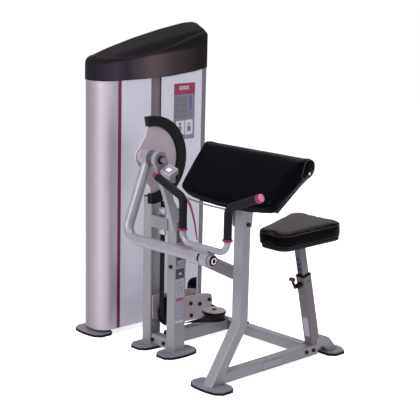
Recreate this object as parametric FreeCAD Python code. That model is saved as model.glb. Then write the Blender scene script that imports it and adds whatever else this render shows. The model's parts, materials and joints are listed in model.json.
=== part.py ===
import FreeCAD, Part
import math
import os

from FreeCAD import Vector

os.makedirs("parts", exist_ok=True)

# The machine stands on z = 0 with its origin below the middle of its outer box.
# x runs from the weight tower towards the user's station, y towards the seat, z up.
# All lengths are in millimetres.

# Driving sizes of the weight tower.
tower_centre_x = -584
tower_depth = 178
tower_front_y = -298
tower_back_y = 395
tower_shroud_bottom = 30
tower_shroud_top = 1330
tower_nose_radius = 70
tower_tail_radius = 18
sheet = 2
stripe_width = 21
nose_wrap = 96
left_panel_width = 191
slot_width = 68
tail_wrap = 40

# Driving sizes of the frame tubes.
tube = 50.8
tube_wall = 3
tube_corner = 6
rear_tube_y = 268.4
upright_width = 60
upright_depth = 72
upright_corner = 9
right_upright_x = -85.5
left_upright_x = -260
upright_y = -177
floor_gap = 18

# Driving sizes of the arm.
pivot_y = -313
pivot_z = 961
arm_x = -142
lower_arm_y = -450
lower_arm_z = 608
arm_radius = 25.4

# Driving sizes of the user's station.
station_x = 379
pad_centre_x = 382
pad_width = 637
pad_slope = 43.4
pad_roll_radius = 50.5
pad_roll_y = -144
pad_roll_z = 1003.7
post_y = -213
seat_length = 361
seat_front_width = 188
seat_back_width = 340
seat_thickness = 69
seat_plate_z = 595
seat_centre_y = 143.5
seat_tilt = 5.4
seat_lean = 13.6
seat_foot_y = 418.8

# Running clearances.
soft_gap = 0.3
run_gap = 0.3
shaft_fit = 0.05
cut_over = 5


def box(x0, x1, y0, y1, z0, z1):
    """A block between two corners."""
    return Part.makeBox(x1 - x0, y1 - y0, z1 - z0, Vector(x0, y0, z0))


def rod(radius, start, end):
    """A round bar from start to end."""
    line = end - start
    return Part.makeCylinder(radius, line.Length, start, line)


def ring(outer, inner, start, end):
    """A round tube from start to end."""
    return rod(outer, start, end).cut(rod(inner, start, end))


def loop(points, radii):
    """A closed outline through points, with an arc of its own radius at each corner."""
    edges = []
    starts = []
    ends = []
    count = len(points)
    for i in range(count):
        before = points[i - 1]
        here = points[i]
        after = points[(i + 1) % count]
        radius = radii[i]
        into = (before - here).normalize()
        away = (after - here).normalize()
        half = into.getAngle(away) / 2
        if radius <= 0:
            starts.append(here)
            ends.append(here)
            edges.append(None)
            continue
        reach = radius / math.tan(half)
        start = here + into * reach
        end = here + away * reach
        middle_line = (into + away).normalize()
        centre = here + middle_line * (radius / math.sin(half))
        middle = centre - middle_line * radius
        starts.append(start)
        ends.append(end)
        edges.append(Part.Arc(start, middle, end).toShape())
    outline = []
    for i in range(count):
        if edges[i]:
            outline.append(edges[i])
        nxt = starts[(i + 1) % count]
        if (nxt - ends[i]).Length > shaft_fit:
            outline.append(Part.makeLine(ends[i], nxt))
    return Part.Wire(outline)


def rectangle(width, height, radius, centre, side, up):
    """A rounded rectangle outline with its width along side and its height along up."""
    a = side * (width / 2)
    b = up * (height / 2)
    return loop([centre - a - b, centre + a - b, centre + a + b, centre - a + b], [radius] * 4)


def bar(start, end, side, width, height, radius, wall=0):
    """A straight rectangular tube from start to end; side is the direction of its width."""
    along = (end - start).normalize()
    up = along.cross(side).normalize()
    outer = Part.Face(rectangle(width, height, radius, start, side, up)).extrude(end - start)
    if not wall:
        return outer
    inner_radius = max(radius - wall, wall / 2)
    size = 2 * wall
    inner = rectangle(width - size, height - size, inner_radius, start, side, up)
    return outer.cut(Part.Face(inner).extrude(end - start))


def swept(points, radii, outline):
    """A closed outline carried along a line with a tangent arc at each inner point."""
    face = Part.Face(outline)
    pieces = []
    here = points[0]
    for i in range(1, len(points) - 1):
        into = (points[i - 1] - points[i]).normalize()
        away = (points[i + 1] - points[i]).normalize()
        half = into.getAngle(away) / 2
        reach = radii[i - 1] / math.tan(half)
        start = points[i] + into * reach
        centre = points[i] + (into + away).normalize() * (radii[i - 1] / math.sin(half))
        pieces.append(face.extrude(start - here))
        face = face.translated(start - here)
        axis = away.cross(into).normalize()
        turn = 180 - 2 * math.degrees(half)
        pieces.append(face.revolve(centre, axis, turn))
        face = face.rotated(centre, axis, turn)
        here = points[i] + away * reach
    pieces.append(face.extrude(points[-1] - here))
    return union(pieces)


def bent_bar(points, radii, side, width, height, radius, wall):
    """A rectangular tube along a bent path in one plane; side is square to that plane."""
    up = (points[1] - points[0]).normalize().cross(side).normalize()
    outer = swept(points, radii, rectangle(width, height, radius, points[0], side, up))
    size = 2 * wall
    inner_radius = max(radius - wall, wall / 2)
    inner = rectangle(width - size, height - size, inner_radius, points[0], side, up)
    return outer.cut(swept(points, radii, inner))


def round_bar(points, radii, radius):
    """A round bar along a bent path, with the seam of its surface beside the bend and not in its plane."""
    along = (points[1] - points[0]).normalize()
    side = along.cross(points[2] - points[1]).normalize()
    circle = Part.makeCircle(radius, points[0], along)
    seam = circle.Vertexes[0].Point - points[0]
    turn = math.degrees(seam.getAngle(side))
    if along.dot(seam.cross(side)) < 0:
        turn = -turn
    return swept(points, radii, Part.Wire(circle.rotated(points[0], along, turn)))


def bent_pipe(points, radii, radius, wall):
    """A round tube along a bent path."""
    return round_bar(points, radii, radius).cut(round_bar(points, radii, radius - wall))


def plate_x(points, radii, x0, x1):
    """A plate square to x from x0 to x1, with an outline of (y, z) points."""
    outline = loop([Vector(x0, y, z) for y, z in points], radii)
    return Part.Face(outline).extrude(Vector(x1 - x0, 0, 0))


def plate_z(points, radii, z0, z1):
    """A plate square to z from z0 to z1, with an outline of (x, y) points."""
    outline = loop([Vector(x, y, z0) for x, y in points], radii)
    return Part.Face(outline).extrude(Vector(0, 0, z1 - z0))


def hexagon(across, height, start, axis):
    """A hexagonal prism on start along axis."""
    base = axis.cross(Vector(0, 0, 1))
    if base.Length < shaft_fit:
        base = Vector(1, 0, 0)
    base.normalize()
    radius = across / math.sqrt(3)
    points = []
    for i in range(6):
        turn = FreeCAD.Rotation(axis, 60 * i)
        points.append(start + turn.multVec(base) * radius)
    face = Part.Face(Part.makePolygon(points + points[:1]))
    return face.extrude(Vector(axis).normalize() * height)


def union(shapes):
    """One solid from shapes that meet."""
    whole = shapes[0]
    for shape in shapes[1:]:
        whole = whole.fuse(shape)
    return whole.removeSplitter()


def group(shapes):
    """Separate solids kept together in one node."""
    return Part.makeCompound(shapes)


def save(name, shape):
    """One file for one sub-part."""
    shape.exportStep("parts/" + name + ".step")


x_axis = Vector(1, 0, 0)
y_axis = Vector(0, 1, 0)
z_axis = Vector(0, 0, 1)


# Feet: a steel plate with chamfered corners and a bulged front on a rubber pad.
foot_length = 200
foot_depth = 104
foot_chamfer = 26
foot_bulge = 10
foot_plate = 8
rubber_lip = 4
rubber_height = floor_gap - foot_plate
seat_foot_length = 150
tower_foot_x = -600
tower_front_foot_y = tower_front_y + foot_depth / 2 - 18
tower_back_foot_y = tower_back_y - foot_depth / 2
upright_foot_y = upright_y
post_foot_y = post_y - 158


def foot_outline(length, depth, lip, z):
    """Six sides with small chamfers and an arched front edge, centred on the z axis."""
    a = length / 2 + lip
    b = depth / 2 + lip
    c = foot_chamfer
    corners = [
        (-a + c, -b), (a - c, -b), (a, -b + c), (a, b - c), (a - c, b), (-a + c, b), (-a, b - c),
        (-a, -b + c),
    ]
    points = [Vector(x, y, z) for x, y in corners]
    edges = [Part.Arc(points[0], Vector(0, -b - foot_bulge, z), points[1]).toShape()]
    for i in range(1, len(points)):
        edges.append(Part.makeLine(points[i], points[(i + 1) % len(points)]))
    return Part.Wire(edges)


def foot(length, x, y, turn):
    """The plate and the rubber of one foot, turned about z and set on the floor."""
    plate = Part.Face(foot_outline(length, foot_depth, 0, rubber_height)).extrude(Vector(0, 0, foot_plate))
    rubber = Part.Face(foot_outline(length, foot_depth, rubber_lip, 0)).extrude(Vector(0, 0, rubber_height))
    place = FreeCAD.Placement(Vector(x, y, 0), FreeCAD.Rotation(z_axis, turn))
    plate.Placement = place
    rubber.Placement = place
    return plate, rubber


feet = [
    foot(foot_length, tower_foot_x, tower_front_foot_y, 0),
    foot(foot_length, tower_foot_x, tower_back_foot_y, 180),
    foot(foot_length, right_upright_x + foot_bulge, upright_foot_y, 90),
    foot(foot_length, left_upright_x, upright_foot_y, 90),
    foot(foot_length, station_x - foot_bulge, post_foot_y, 0),
    foot(seat_foot_length, station_x - foot_bulge, seat_foot_y, 180),
]
save("foot_plates", group([plate for plate, rubber in feet]))
save("rubber_feet", group([rubber for plate, rubber in feet]))


# Tower frame: a base beam, two posts, two top rails with the pulleys between them, and the rods.
tower_tube = 50
tower_post_front_y = tower_front_y + 82
tower_post_back_y = tower_back_y - 29
tower_base_z = floor_gap + tower_tube / 2
tower_top_z = 1243
rail_height = 50
rail_thick = 8
stack_y = tower_front_y + nose_wrap + stripe_width + left_panel_width + slot_width / 2
stack_x = tower_centre_x
rod_spacing = 200
rod_radius = 9.5
bridge_height = 12
rod_top = tower_top_z - rail_height
base_top = floor_gap + tower_tube


def tower_point(y, z):
    """A point in the tower's middle plane."""
    return Vector(tower_centre_x, y, z)


tower_ends = (tower_post_front_y, tower_post_back_y)
base_beam = bar(
    tower_point(tower_ends[0] - tower_tube / 2, tower_base_z),
    tower_point(tower_ends[1] + tower_tube / 2, tower_base_z),
    x_axis, tower_tube, tower_tube, tube_corner, tube_wall,
)
tower_posts = []
for y in tower_ends:
    low = tower_point(y, base_top)
    high = tower_point(y, tower_top_z)
    tower_posts.append(bar(low, high, x_axis, tower_tube, tower_tube, tube_corner, tube_wall))
rails = []
for side in (-1, 1):
    inner = tower_centre_x + side * tower_tube / 2
    outer = inner + side * rail_thick
    rails.append(box(
        min(inner, outer), max(inner, outer), tower_ends[0] - tower_tube / 2, tower_ends[1] + tower_tube / 2,
        tower_top_z - rail_height, tower_top_z,
    ))
for side in (-1, 1):
    y = stack_y + side * rod_spacing / 2
    half = tower_tube / 2
    rails.append(box(
        tower_centre_x - half, tower_centre_x + half, y - half, y + half, rod_top, rod_top + bridge_height,
    ))
rods = []
bumpers = []
bumper_radius = 24
bumper_height = 28
for side in (-1, 1):
    y = stack_y + side * rod_spacing / 2
    rods.append(rod(rod_radius, tower_point(y, base_top), tower_point(y, rod_top)))
    low = tower_point(y, base_top)
    bumpers.append(ring(bumper_radius, rod_radius + run_gap, low, low + z_axis * bumper_height))
save("guide_rods", group(rods))
save("stack_bumpers", group(bumpers))


# Weight stack: plates on two rods, a stem through them and a pin in one plate's hole.
plate_depth = 100
plate_length = 300
plate_height = 20
plate_corner = 8
plate_hole = rod_radius + 1
pin_hole = 5.2
stem_radius = 12
stem_hole = stem_radius + 1
plates_lifted = 7
plates_resting = 8
stack_bottom = base_top + bumper_height
stack_top = stack_bottom + (plates_lifted + plates_resting) * plate_height


def stack_plate(z, height):
    """One weight plate with its rod holes, its stem hole and its pin hole."""
    face = rectangle(plate_depth, plate_length, plate_corner, Vector(stack_x, stack_y, z), x_axis, y_axis)
    body = Part.Face(face).extrude(Vector(0, 0, height))
    for side in (-1, 1):
        at = Vector(stack_x, stack_y + side * rod_spacing / 2, z)
        body = body.cut(rod(plate_hole, at, at + z_axis * height))
    at = Vector(stack_x, stack_y, z)
    return body.cut(rod(stem_hole, at, at + z_axis * height))


def pin_bore(z):
    """The cross hole for the selector pin in the plate whose underside is at z."""
    at = Vector(stack_x, stack_y, z + plate_height / 2)
    return rod(pin_hole, at - x_axis * plate_depth, at + x_axis * plate_depth)


plate_z_values = [stack_bottom + i * plate_height for i in range(plates_lifted + plates_resting)]
made_plates = [stack_plate(z, plate_height).cut(pin_bore(z)) for z in plate_z_values]
save("weight_plates_resting", group(made_plates[:plates_resting]))
save("weight_plates_lifted", group(made_plates[plates_resting:]))
top_plate_height = 30
head_radius = 22
head_height = 26
pin_z = plate_z_values[plates_resting] + plate_height / 2
stem_foot = pin_z - plate_height / 2 + cut_over
top_plate = stack_plate(stack_top, top_plate_height)
stem = rod(
    stem_radius, Vector(stack_x, stack_y, stem_foot),
    Vector(stack_x, stack_y, stack_top + top_plate_height),
)
stem_head = rod(
    head_radius,
    Vector(stack_x, stack_y, stack_top + top_plate_height),
    Vector(stack_x, stack_y, stack_top + top_plate_height + head_height),
)
for z in plate_z_values[plates_resting:]:
    stem = stem.cut(pin_bore(z))
save("stack_top_plate", group([top_plate, union([stem, stem_head])]))
pin_radius = 4.8
pin_grip_radius = 11
pin_grip_length = 34
pin_start = Vector(stack_x - plate_depth / 2 + cut_over, stack_y, pin_z)
pin_seat = Vector(stack_x + plate_depth / 2 + run_gap, stack_y, pin_z)
selector = union([
    rod(pin_radius, pin_start, pin_seat),
    rod(pin_grip_radius, pin_seat, pin_seat + x_axis * pin_grip_length),
])
save("selector_pin", selector)


# Shroud: a wrapped nose, a stripe, two panels beside the slot, a tail and a back panel.
shroud_right = tower_centre_x + tower_depth / 2
shroud_left = tower_centre_x - tower_depth / 2
nose_end_y = tower_front_y + nose_wrap
stripe_end_y = nose_end_y + stripe_width
slot_start_y = stripe_end_y + left_panel_width
slot_end_y = slot_start_y + slot_width
tail_start_y = tower_back_y - tail_wrap
panel_seam = 0.4


def wrap(y_open, y_closed, radius, z0, z1):
    """A sheet bent round one end of the tower, open at y_open."""
    outlines = []
    for inset in (0, sheet):
        grow = math.copysign(inset, y_closed - y_open)
        points = [
            Vector(shroud_left + inset, y_open, z0),
            Vector(shroud_right - inset, y_open, z0),
            Vector(shroud_right - inset, y_closed - grow, z0),
            Vector(shroud_left + inset, y_closed - grow, z0),
        ]
        bend = radius - inset
        outlines.append(Part.Face(loop(points, [0, 0, bend, bend])).extrude(Vector(0, 0, z1 - z0)))
    return outlines[0].cut(outlines[1])


save("shroud_nose", wrap(nose_end_y, tower_front_y, tower_nose_radius, tower_shroud_bottom, tower_shroud_top))
save(
    "shroud_tail",
    wrap(tail_start_y, tower_back_y, tower_tail_radius, tower_shroud_bottom, tower_shroud_top),
)


def front_panel(y0, y1):
    """A flat panel on the user's side of the tower."""
    return box(
        shroud_right - sheet, shroud_right, y0 + panel_seam, y1 - panel_seam, tower_shroud_bottom,
        tower_shroud_top,
    )


arch_start_y = tail_start_y - 74
arch_bottom = 84
arch_top = 204
arch_radius = 34
arch = plate_x(
    [(arch_start_y, arch_bottom), (tail_start_y - cut_over, arch_bottom), (tail_start_y - cut_over, arch_top),
     (arch_start_y, arch_top)],
    [cut_over, cut_over, cut_over, arch_radius], shroud_right - sheet - cut_over, shroud_right + cut_over,
)
placard_y0 = 162
placard_y1 = 306
placard_z0 = 953
placard_z1 = 1240
placard_thick = 0.8
save("instruction_placard", box(
    shroud_right, shroud_right + placard_thick, placard_y0, placard_y1, placard_z0, placard_z1,
))
save("shroud_stripe", front_panel(nose_end_y, stripe_end_y))
save("shroud_left_panel", front_panel(stripe_end_y, slot_start_y))
notch_gap = 1.5
notch = box(
    shroud_right - sheet - cut_over, shroud_right + cut_over, rear_tube_y - tube / 2 - notch_gap,
    rear_tube_y + tube / 2 + notch_gap, 0, floor_gap + tube + notch_gap,
)
save("shroud_right_panel", front_panel(slot_end_y, tail_start_y).cut(arch).cut(notch))
save("shroud_back_panel", box(
    shroud_left, shroud_left + sheet, nose_end_y + panel_seam, tail_start_y - panel_seam,
    tower_shroud_bottom, tower_shroud_top,
))

# Brackets that hold the shroud on the tower posts.
rib_height = 30
rib_depth = 20
rib_levels = (floor_gap + tower_tube + rib_height, rod_top - 2 * rib_height)
ribs = []
for z in rib_levels:
    for y in tower_ends:
        for side in (-1, 1):
            inner = tower_centre_x + side * tower_tube / 2
            outer = tower_centre_x + side * (tower_depth / 2 - sheet)
            ribs.append(box(min(inner, outer), max(inner, outer), y - rib_depth / 2, y + rib_depth / 2, z, z + rib_height))


# Cap: a hollow domed lid that rises from the nose to the tail.
cap_skirt_z = 1275
cap_top_z = 1543
cap_low_shares = (0, 0.03, 0.12, 0.38, 0.62, 0.86, 0.96, 1)
cap_skirt_shares = (0, 0, 0, 0, 0.02, 0.08, 0.13, 0.14)
cap_side_shares = (0.24, 0.29, 0.35, 0.39, 0.48, 0.61, 0.7, 0.72)
cap_ridge_shares = (0.26, 0.42, 0.55, 0.74, 0.88, 0.99, 1, 0.95)
cap_shoulder_share = 0.72
cap_shoulder_rise_share = 0.55
cap_wall = 3
cap_over = cap_wall + soft_gap
cap_half = tower_depth / 2 + cap_over
cap_front = tower_front_y - cap_over
cap_back = tower_back_y + cap_over
cap_lip = 13
cap_skirt_bottom = cap_skirt_z - cap_lip


def cap_height(share):
    """The height above the floor that a share of the cap's own height stands for."""
    return cap_skirt_z + share * (cap_top_z - cap_skirt_z)


def cap_section(share, side_height, ridge_height, inset):
    """One upright slice of the cap: straight sides and an arched top."""
    y = cap_front + share * (cap_back - cap_front)
    half = cap_half - inset
    low = cap_skirt_bottom
    side = side_height - inset
    ridge = ridge_height - inset
    shoulder = half * cap_shoulder_share
    rise = side + (ridge - side) * cap_shoulder_rise_share
    points = [
        Vector(tower_centre_x - half, y, low),
        Vector(tower_centre_x + half, y, low),
        Vector(tower_centre_x + half, y, side),
        Vector(tower_centre_x, y, ridge),
        Vector(tower_centre_x - half, y, side),
    ]
    left_mid = Vector(tower_centre_x - shoulder, y, rise)
    right_mid = Vector(tower_centre_x + shoulder, y, rise)
    return Part.Wire([
        Part.makeLine(points[0], points[1]),
        Part.makeLine(points[1], points[2]),
        Part.Arc(points[2], right_mid, points[3]).toShape(),
        Part.Arc(points[3], left_mid, points[4]).toShape(),
        Part.makeLine(points[4], points[0]),
    ])


def cap_body(inset):
    """The lofted block of the cap, smaller all round by inset."""
    wires = []
    for share, side, ridge in zip(cap_low_shares, cap_side_shares, cap_ridge_shares):
        wires.append(cap_section(share, cap_height(side), cap_height(ridge), inset))
    return Part.makeLoft(wires, True, False)


nose_over = tower_nose_radius + cap_over
tail_over = tower_tail_radius + cap_over
plan = plate_z(
    [(tower_centre_x - cap_half, cap_front), (tower_centre_x + cap_half, cap_front),
     (tower_centre_x + cap_half, cap_back), (tower_centre_x - cap_half, cap_back)],
    [nose_over, nose_over, tail_over, tail_over], cap_skirt_bottom, cap_top_z + cut_over,
)
hollow_plan = plate_z(
    [(tower_centre_x - cap_half + cap_wall, cap_front + cap_wall),
     (tower_centre_x + cap_half - cap_wall, cap_front + cap_wall),
     (tower_centre_x + cap_half - cap_wall, cap_back - cap_wall),
     (tower_centre_x - cap_half + cap_wall, cap_back - cap_wall)],
    [nose_over - cap_wall, nose_over - cap_wall, tail_over - cap_wall, tail_over - cap_wall],
    cap_skirt_bottom - cut_over, cap_top_z,
)
cap = cap_body(0).common(plan)
hollow = cap_body(cap_wall).common(hollow_plan)
skirt_x = tower_centre_x - 2 * cap_half
skirt_start = cap_front - cut_over
skirt_end = cap_back + cut_over
skirt_low = cap_skirt_bottom - cut_over
skirt_points = [
    Vector(skirt_x, skirt_start, skirt_low), Vector(skirt_x, skirt_start, cap_height(cap_skirt_shares[0])),
]
for share, height_share in zip(cap_low_shares, cap_skirt_shares):
    skirt_points.append(Vector(skirt_x, cap_front + share * (cap_back - cap_front), cap_height(height_share)))
skirt_points += [
    Vector(skirt_x, skirt_end, cap_height(cap_skirt_shares[-1])), Vector(skirt_x, skirt_end, skirt_low),
]
skirt_face = Part.Face(Part.makePolygon(skirt_points + skirt_points[:1]))
skirt_cut = skirt_face.extrude(Vector(4 * cap_half, 0, 0))
shell = cap.cut(hollow).cut(skirt_cut)
save("tower_cap", shell)


# Base tubes and uprights. Tubes that meet are cut to each other's faces.
low_z = floor_gap + tube / 2
right_inner_x = right_upright_x - upright_width / 2
right_outer_x = right_upright_x + upright_width / 2
left_inner_x = left_upright_x + upright_width / 2
left_upright_top = 745
right_upright_top = 700
member_thick = 24.5
member_width = 70
member_x0 = right_outer_x - member_thick
hub_radius = 38
member_foot_z = 610
member_shares = ((0.32, 0), (-0.12, 0), (-0.12, 0.11), (0.39, 0.44), (0.74, 1.04), (1.26, 0.97), (0.73, 0.48))
member_bend = 60
member_heel = 26
member_rounds = [0, 0, member_heel, member_bend, 0, 0, member_bend]
member_points = [
    (upright_y + forward * (pivot_y - upright_y), member_foot_z + up * (pivot_z - member_foot_z))
    for forward, up in member_shares
]
member = plate_x(member_points, member_rounds, member_x0, right_outer_x)
shaft_radius = 12.5
pivot = Vector(0, pivot_y, pivot_z)


def on_pivot(x):
    """A point of the arm's axis."""
    return Vector(x, pivot_y, pivot_z)


member = union([member, rod(hub_radius, on_pivot(member_x0), on_pivot(right_outer_x))])
member_bore = rod(
    shaft_radius + shaft_fit, on_pivot(member_x0 - cut_over), on_pivot(right_outer_x + cut_over),
)
upright_sides = (x_axis, upright_width, upright_depth, upright_corner, tube_wall)
right_tube = bar(
    Vector(right_upright_x, upright_y, floor_gap), Vector(right_upright_x, upright_y, right_upright_top),
    *upright_sides,
)
left_tube = bar(
    Vector(left_upright_x, upright_y, floor_gap), Vector(left_upright_x, upright_y, left_upright_top),
    *upright_sides,
)
save("upright_right", right_tube.cut(member))
save("upright_left", left_tube)
save("upright_arm", member.cut(member_bore))
plug_height = 4
left_plug = bar(
    Vector(left_upright_x, upright_y, left_upright_top), Vector(
        left_upright_x, upright_y, left_upright_top + plug_height,
    ),
    x_axis, upright_width, upright_depth, upright_corner,
)
right_plug = bar(
    Vector(right_upright_x, upright_y, right_upright_top), Vector(
        right_upright_x, upright_y, right_upright_top + plug_height,
    ),
    x_axis, upright_width, upright_depth, upright_corner,
).cut(member)
base_tube_x = -172.5
base_tube_height = 66
base_tube_end_y = 239
cross_y = upright_y
cross_front_y = upright_y - upright_depth / 2
cross_plate = 6
upper_cross_z = 604
upper_cross_height = 58
lower_cross = bar(
    Vector(left_inner_x, cross_y, low_z), Vector(right_inner_x, cross_y, low_z), y_axis, tube, tube, tube_corner, tube_wall,
)
upper_cross = box(
    left_inner_x, right_inner_x, cross_front_y, cross_front_y + cross_plate, upper_cross_z, upper_cross_z + upper_cross_height,
)
save("crossbars", group([lower_cross, upper_cross]))
base_tube_start = cross_y + tube / 2
base_tube_top = floor_gap + base_tube_height
base_tube = bar(
    Vector(base_tube_x, base_tube_start, floor_gap + base_tube_height / 2),
    Vector(base_tube_x, base_tube_end_y, floor_gap + base_tube_height / 2),
    x_axis, tube, base_tube_height, tube_corner, tube_wall,
)
save("pulley_base_tube", base_tube)
base_plug = bar(
    Vector(base_tube_x, base_tube_end_y, floor_gap + base_tube_height / 2),
    Vector(base_tube_x, base_tube_end_y + plug_height, floor_gap + base_tube_height / 2),
    x_axis, tube, base_tube_height, tube_corner,
)
rear_start = Vector(tower_centre_x + tower_tube / 2, rear_tube_y, low_z)
rear_end = Vector(station_x - tube / 2, rear_tube_y, low_z)
save("rear_base_tube", bar(rear_start, rear_end, y_axis, tube, tube, tube_corner, tube_wall))
seat_base_end = 300
post_bend_z = 269
post_low_y = -391
post_top = 940
post_bend = 70
bracket_plate = 6
pad_face_taper = 2.3
pad_under_taper = 7.4


def pad_point(x, down, out, turn=0):
    """A point of the preacher pad: down its slope and out from it, with the slope turned by some degrees."""
    slope = math.radians(pad_slope + turn)
    y = pad_roll_y - down * math.cos(slope) - out * math.sin(slope)
    z = pad_roll_z - down * math.sin(slope) + out * math.cos(slope)
    return Vector(x, y, z)


def pad_block(x0, x1, down0, down1, out0, out1):
    """A block that lies square to the preacher pad's underside."""
    turn = -pad_under_taper
    corners = [
        pad_point(x0, down0, out0, turn), pad_point(x0, down1, out0, turn),
        pad_point(x0, down1, out1, turn), pad_point(x0, down0, out1, turn),
    ]
    face = Part.Face(Part.makePolygon(corners + corners[:1]))
    return face.extrude(Vector(x1 - x0, 0, 0))


flange_thick = 6
board_thick = 12
board_drop = pad_roll_radius + board_thick
flange_drop = board_drop + flange_thick
far = 2000
floor_block = box(-far, far, -far, far, -far, floor_gap)
post_width = 57
post_x = station_x + (tube - post_width) / 2
post_path = [
    Vector(post_x, post_low_y, 0), Vector(post_x, post_y, post_bend_z), Vector(post_x, post_y, post_top),
]
post_outer = swept(
    post_path, [post_bend],
    rectangle(
        post_width, tube, tube_corner, post_path[0], x_axis,
        (post_path[1] - post_path[0]).normalize().cross(x_axis),
    ),
)
above_flange = pad_block(0, far, -far, far, -flange_drop, far)
post = bent_bar(post_path, [post_bend], x_axis, post_width, tube, tube_corner, tube_wall)
flange_half = 60
flange_start = 40
flange_end = 190
flange = pad_block(
    station_x - flange_half, station_x + flange_half, flange_start, flange_end, -flange_drop, -board_drop,
)
bracket_low = 712
bracket_low_shares = (-0.53, 0.47)
bracket_high_shares = (-1.18, 0.79)
bracket_round = 8
below_flange = pad_block(0, far, -far, far, -far, -flange_drop)
brackets = [flange]
for side in (-1, 1):
    inner = post_x + side * post_width / 2
    outer = inner + side * bracket_plate
    low_front, low_back = [post_y + share * tube for share in bracket_low_shares]
    high_front, high_back = [post_y + share * tube for share in bracket_high_shares]
    plate = plate_x(
        [(low_front, bracket_low), (low_back, bracket_low), (high_back, post_top), (high_front, post_top)],
        [bracket_round, bracket_round, 0, 0], min(inner, outer), max(inner, outer),
    )
    brackets.append(plate.common(below_flange))
save("pad_post", group([post.cut(floor_block).cut(above_flange)] + brackets))
seat_base = bar(
    Vector(station_x, post_low_y, low_z), Vector(station_x, seat_base_end, low_z), x_axis, tube, tube, tube_corner, tube_wall,
)
seat_base = seat_base.cut(post_outer)
seat_base_piece = sorted(seat_base.Solids, key=lambda piece: piece.Volume)[-1]
brace_y = -190
brace_width = 40
brace_height = 52
brace_start_z = 527
brace_end_z = 478
brace_reach = 40
brace = bar(
    Vector(
        right_outer_x - brace_reach, brace_y,
        brace_start_z + brace_reach * (brace_start_z - brace_end_z) / station_x,
    ),
    Vector(station_x, brace_y, brace_end_z), y_axis, brace_width, brace_height, tube_corner, tube_wall,
)
brace_room = box(right_outer_x, post_x - post_width / 2, -far, far, 0, far)
save("post_brace", brace.common(brace_room))

# Seat post: a leaning outer tube, a plastic sleeve, and an inner post that slides with the seat.
seat_x = 376
seat_post_size = 54
seat_post_wall = 3
seat_post_top_y = 206.5
seat_post_top_z = 421
lean = math.radians(seat_lean)
seat_axis = Vector(0, -math.sin(lean), math.cos(lean))
seat_front = Vector(0, -math.cos(lean), -math.sin(lean))
seat_post_corner = 7


def seat_point(along, forward=0):
    """A point on the seat post's axis, measured from the outer tube's top."""
    return Vector(seat_x, seat_post_top_y, seat_post_top_z) + seat_axis * along + seat_front * forward


seat_post_foot = -(seat_post_top_z - floor_gap) / math.cos(lean)
outer_size = (seat_post_size, seat_post_size, seat_post_corner)
seat_outer = bar(seat_point(seat_post_foot), seat_point(0), x_axis, *outer_size, seat_post_wall)
base_block = box(-far, far, -far, far, -far, floor_gap + tube)
pin_along = -36
plunger_radius = 5
plunger_bore = plunger_radius + shaft_fit
pin_tunnel = rod(plunger_bore, seat_point(pin_along), seat_point(pin_along, seat_post_size))
save("seat_post_outer", seat_outer.cut(base_block).cut(pin_tunnel))
sleeve_size = 56
sleeve_top = 6
sleeve_depth = 24
inner_size = 39
inner_corner = 4
slide_gap = 0.3
sleeve_flange = bar(seat_point(0), seat_point(sleeve_top), x_axis, sleeve_size, sleeve_size, seat_post_corner)
lining = seat_post_size - 2 * seat_post_wall - 2 * shaft_fit
sleeve_lining = bar(seat_point(-sleeve_depth), seat_point(0), x_axis, lining, lining, inner_corner)
sleeve_bore = bar(
    seat_point(-seat_post_size), seat_point(seat_post_size), x_axis, inner_size + 2 * slide_gap, inner_size + 2 * slide_gap,
    inner_corner,
)
save("seat_post_sleeve", union([sleeve_flange, sleeve_lining]).cut(sleeve_bore))
inner_reach = 240
seat_plate_thick = 6
inner_top = (seat_plate_z - seat_plate_thick - seat_post_top_z) / math.cos(lean)
seat_inner = bar(
    seat_point(-inner_reach), seat_point(inner_top + inner_size), x_axis, inner_size, inner_size, inner_corner, tube_wall,
)
hole_pitch = 25
hole_radius = plunger_radius + run_gap
holes_up = 5
holes_down = 4
for i in range(-holes_down, holes_up + 1):
    along = pin_along + hole_pitch * i
    seat_inner = seat_inner.cut(rod(hole_radius, seat_point(along), seat_point(along, inner_size)))


def tilted(shape):
    """A level piece of the seat, tipped towards the pad about the seat's middle."""
    return shape.rotated(Vector(seat_x, seat_centre_y, seat_plate_z), x_axis, seat_tilt)


seat_roof = tilted(box(-far, far, -far, far, seat_plate_z - seat_plate_thick, far))
save("seat_post_inner", seat_inner.cut(seat_roof))
elbow_rise = 36
elbow_fall = 8
elbow_start = Vector(station_x, seat_base_end - tube / 2, low_z + elbow_rise)
elbow_turn = Vector(station_x, seat_base_end + 5 * tube / 4, low_z + elbow_rise - elbow_fall)
elbow_end = Vector(station_x, seat_foot_y + tube / 4, 0)
elbow = bent_bar([elbow_start, elbow_turn, elbow_end], [tube], x_axis, tube, tube, tube_corner, tube_wall)
base_room = box(-far, far, -far, seat_base_end, 0, floor_gap + tube)
post_room = bar(seat_point(seat_post_foot), seat_point(0), x_axis, *outer_size)
behind_post = box(-far, far, seat_foot_y - 5 * tube / 2, far, floor_gap, far)
elbow = elbow.cut(base_room).cut(post_room).common(behind_post)
elbow = sorted(elbow.Solids, key=lambda piece: piece.Volume)[-1]
save("seat_base_tube", group([seat_base_piece, elbow]))

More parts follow.
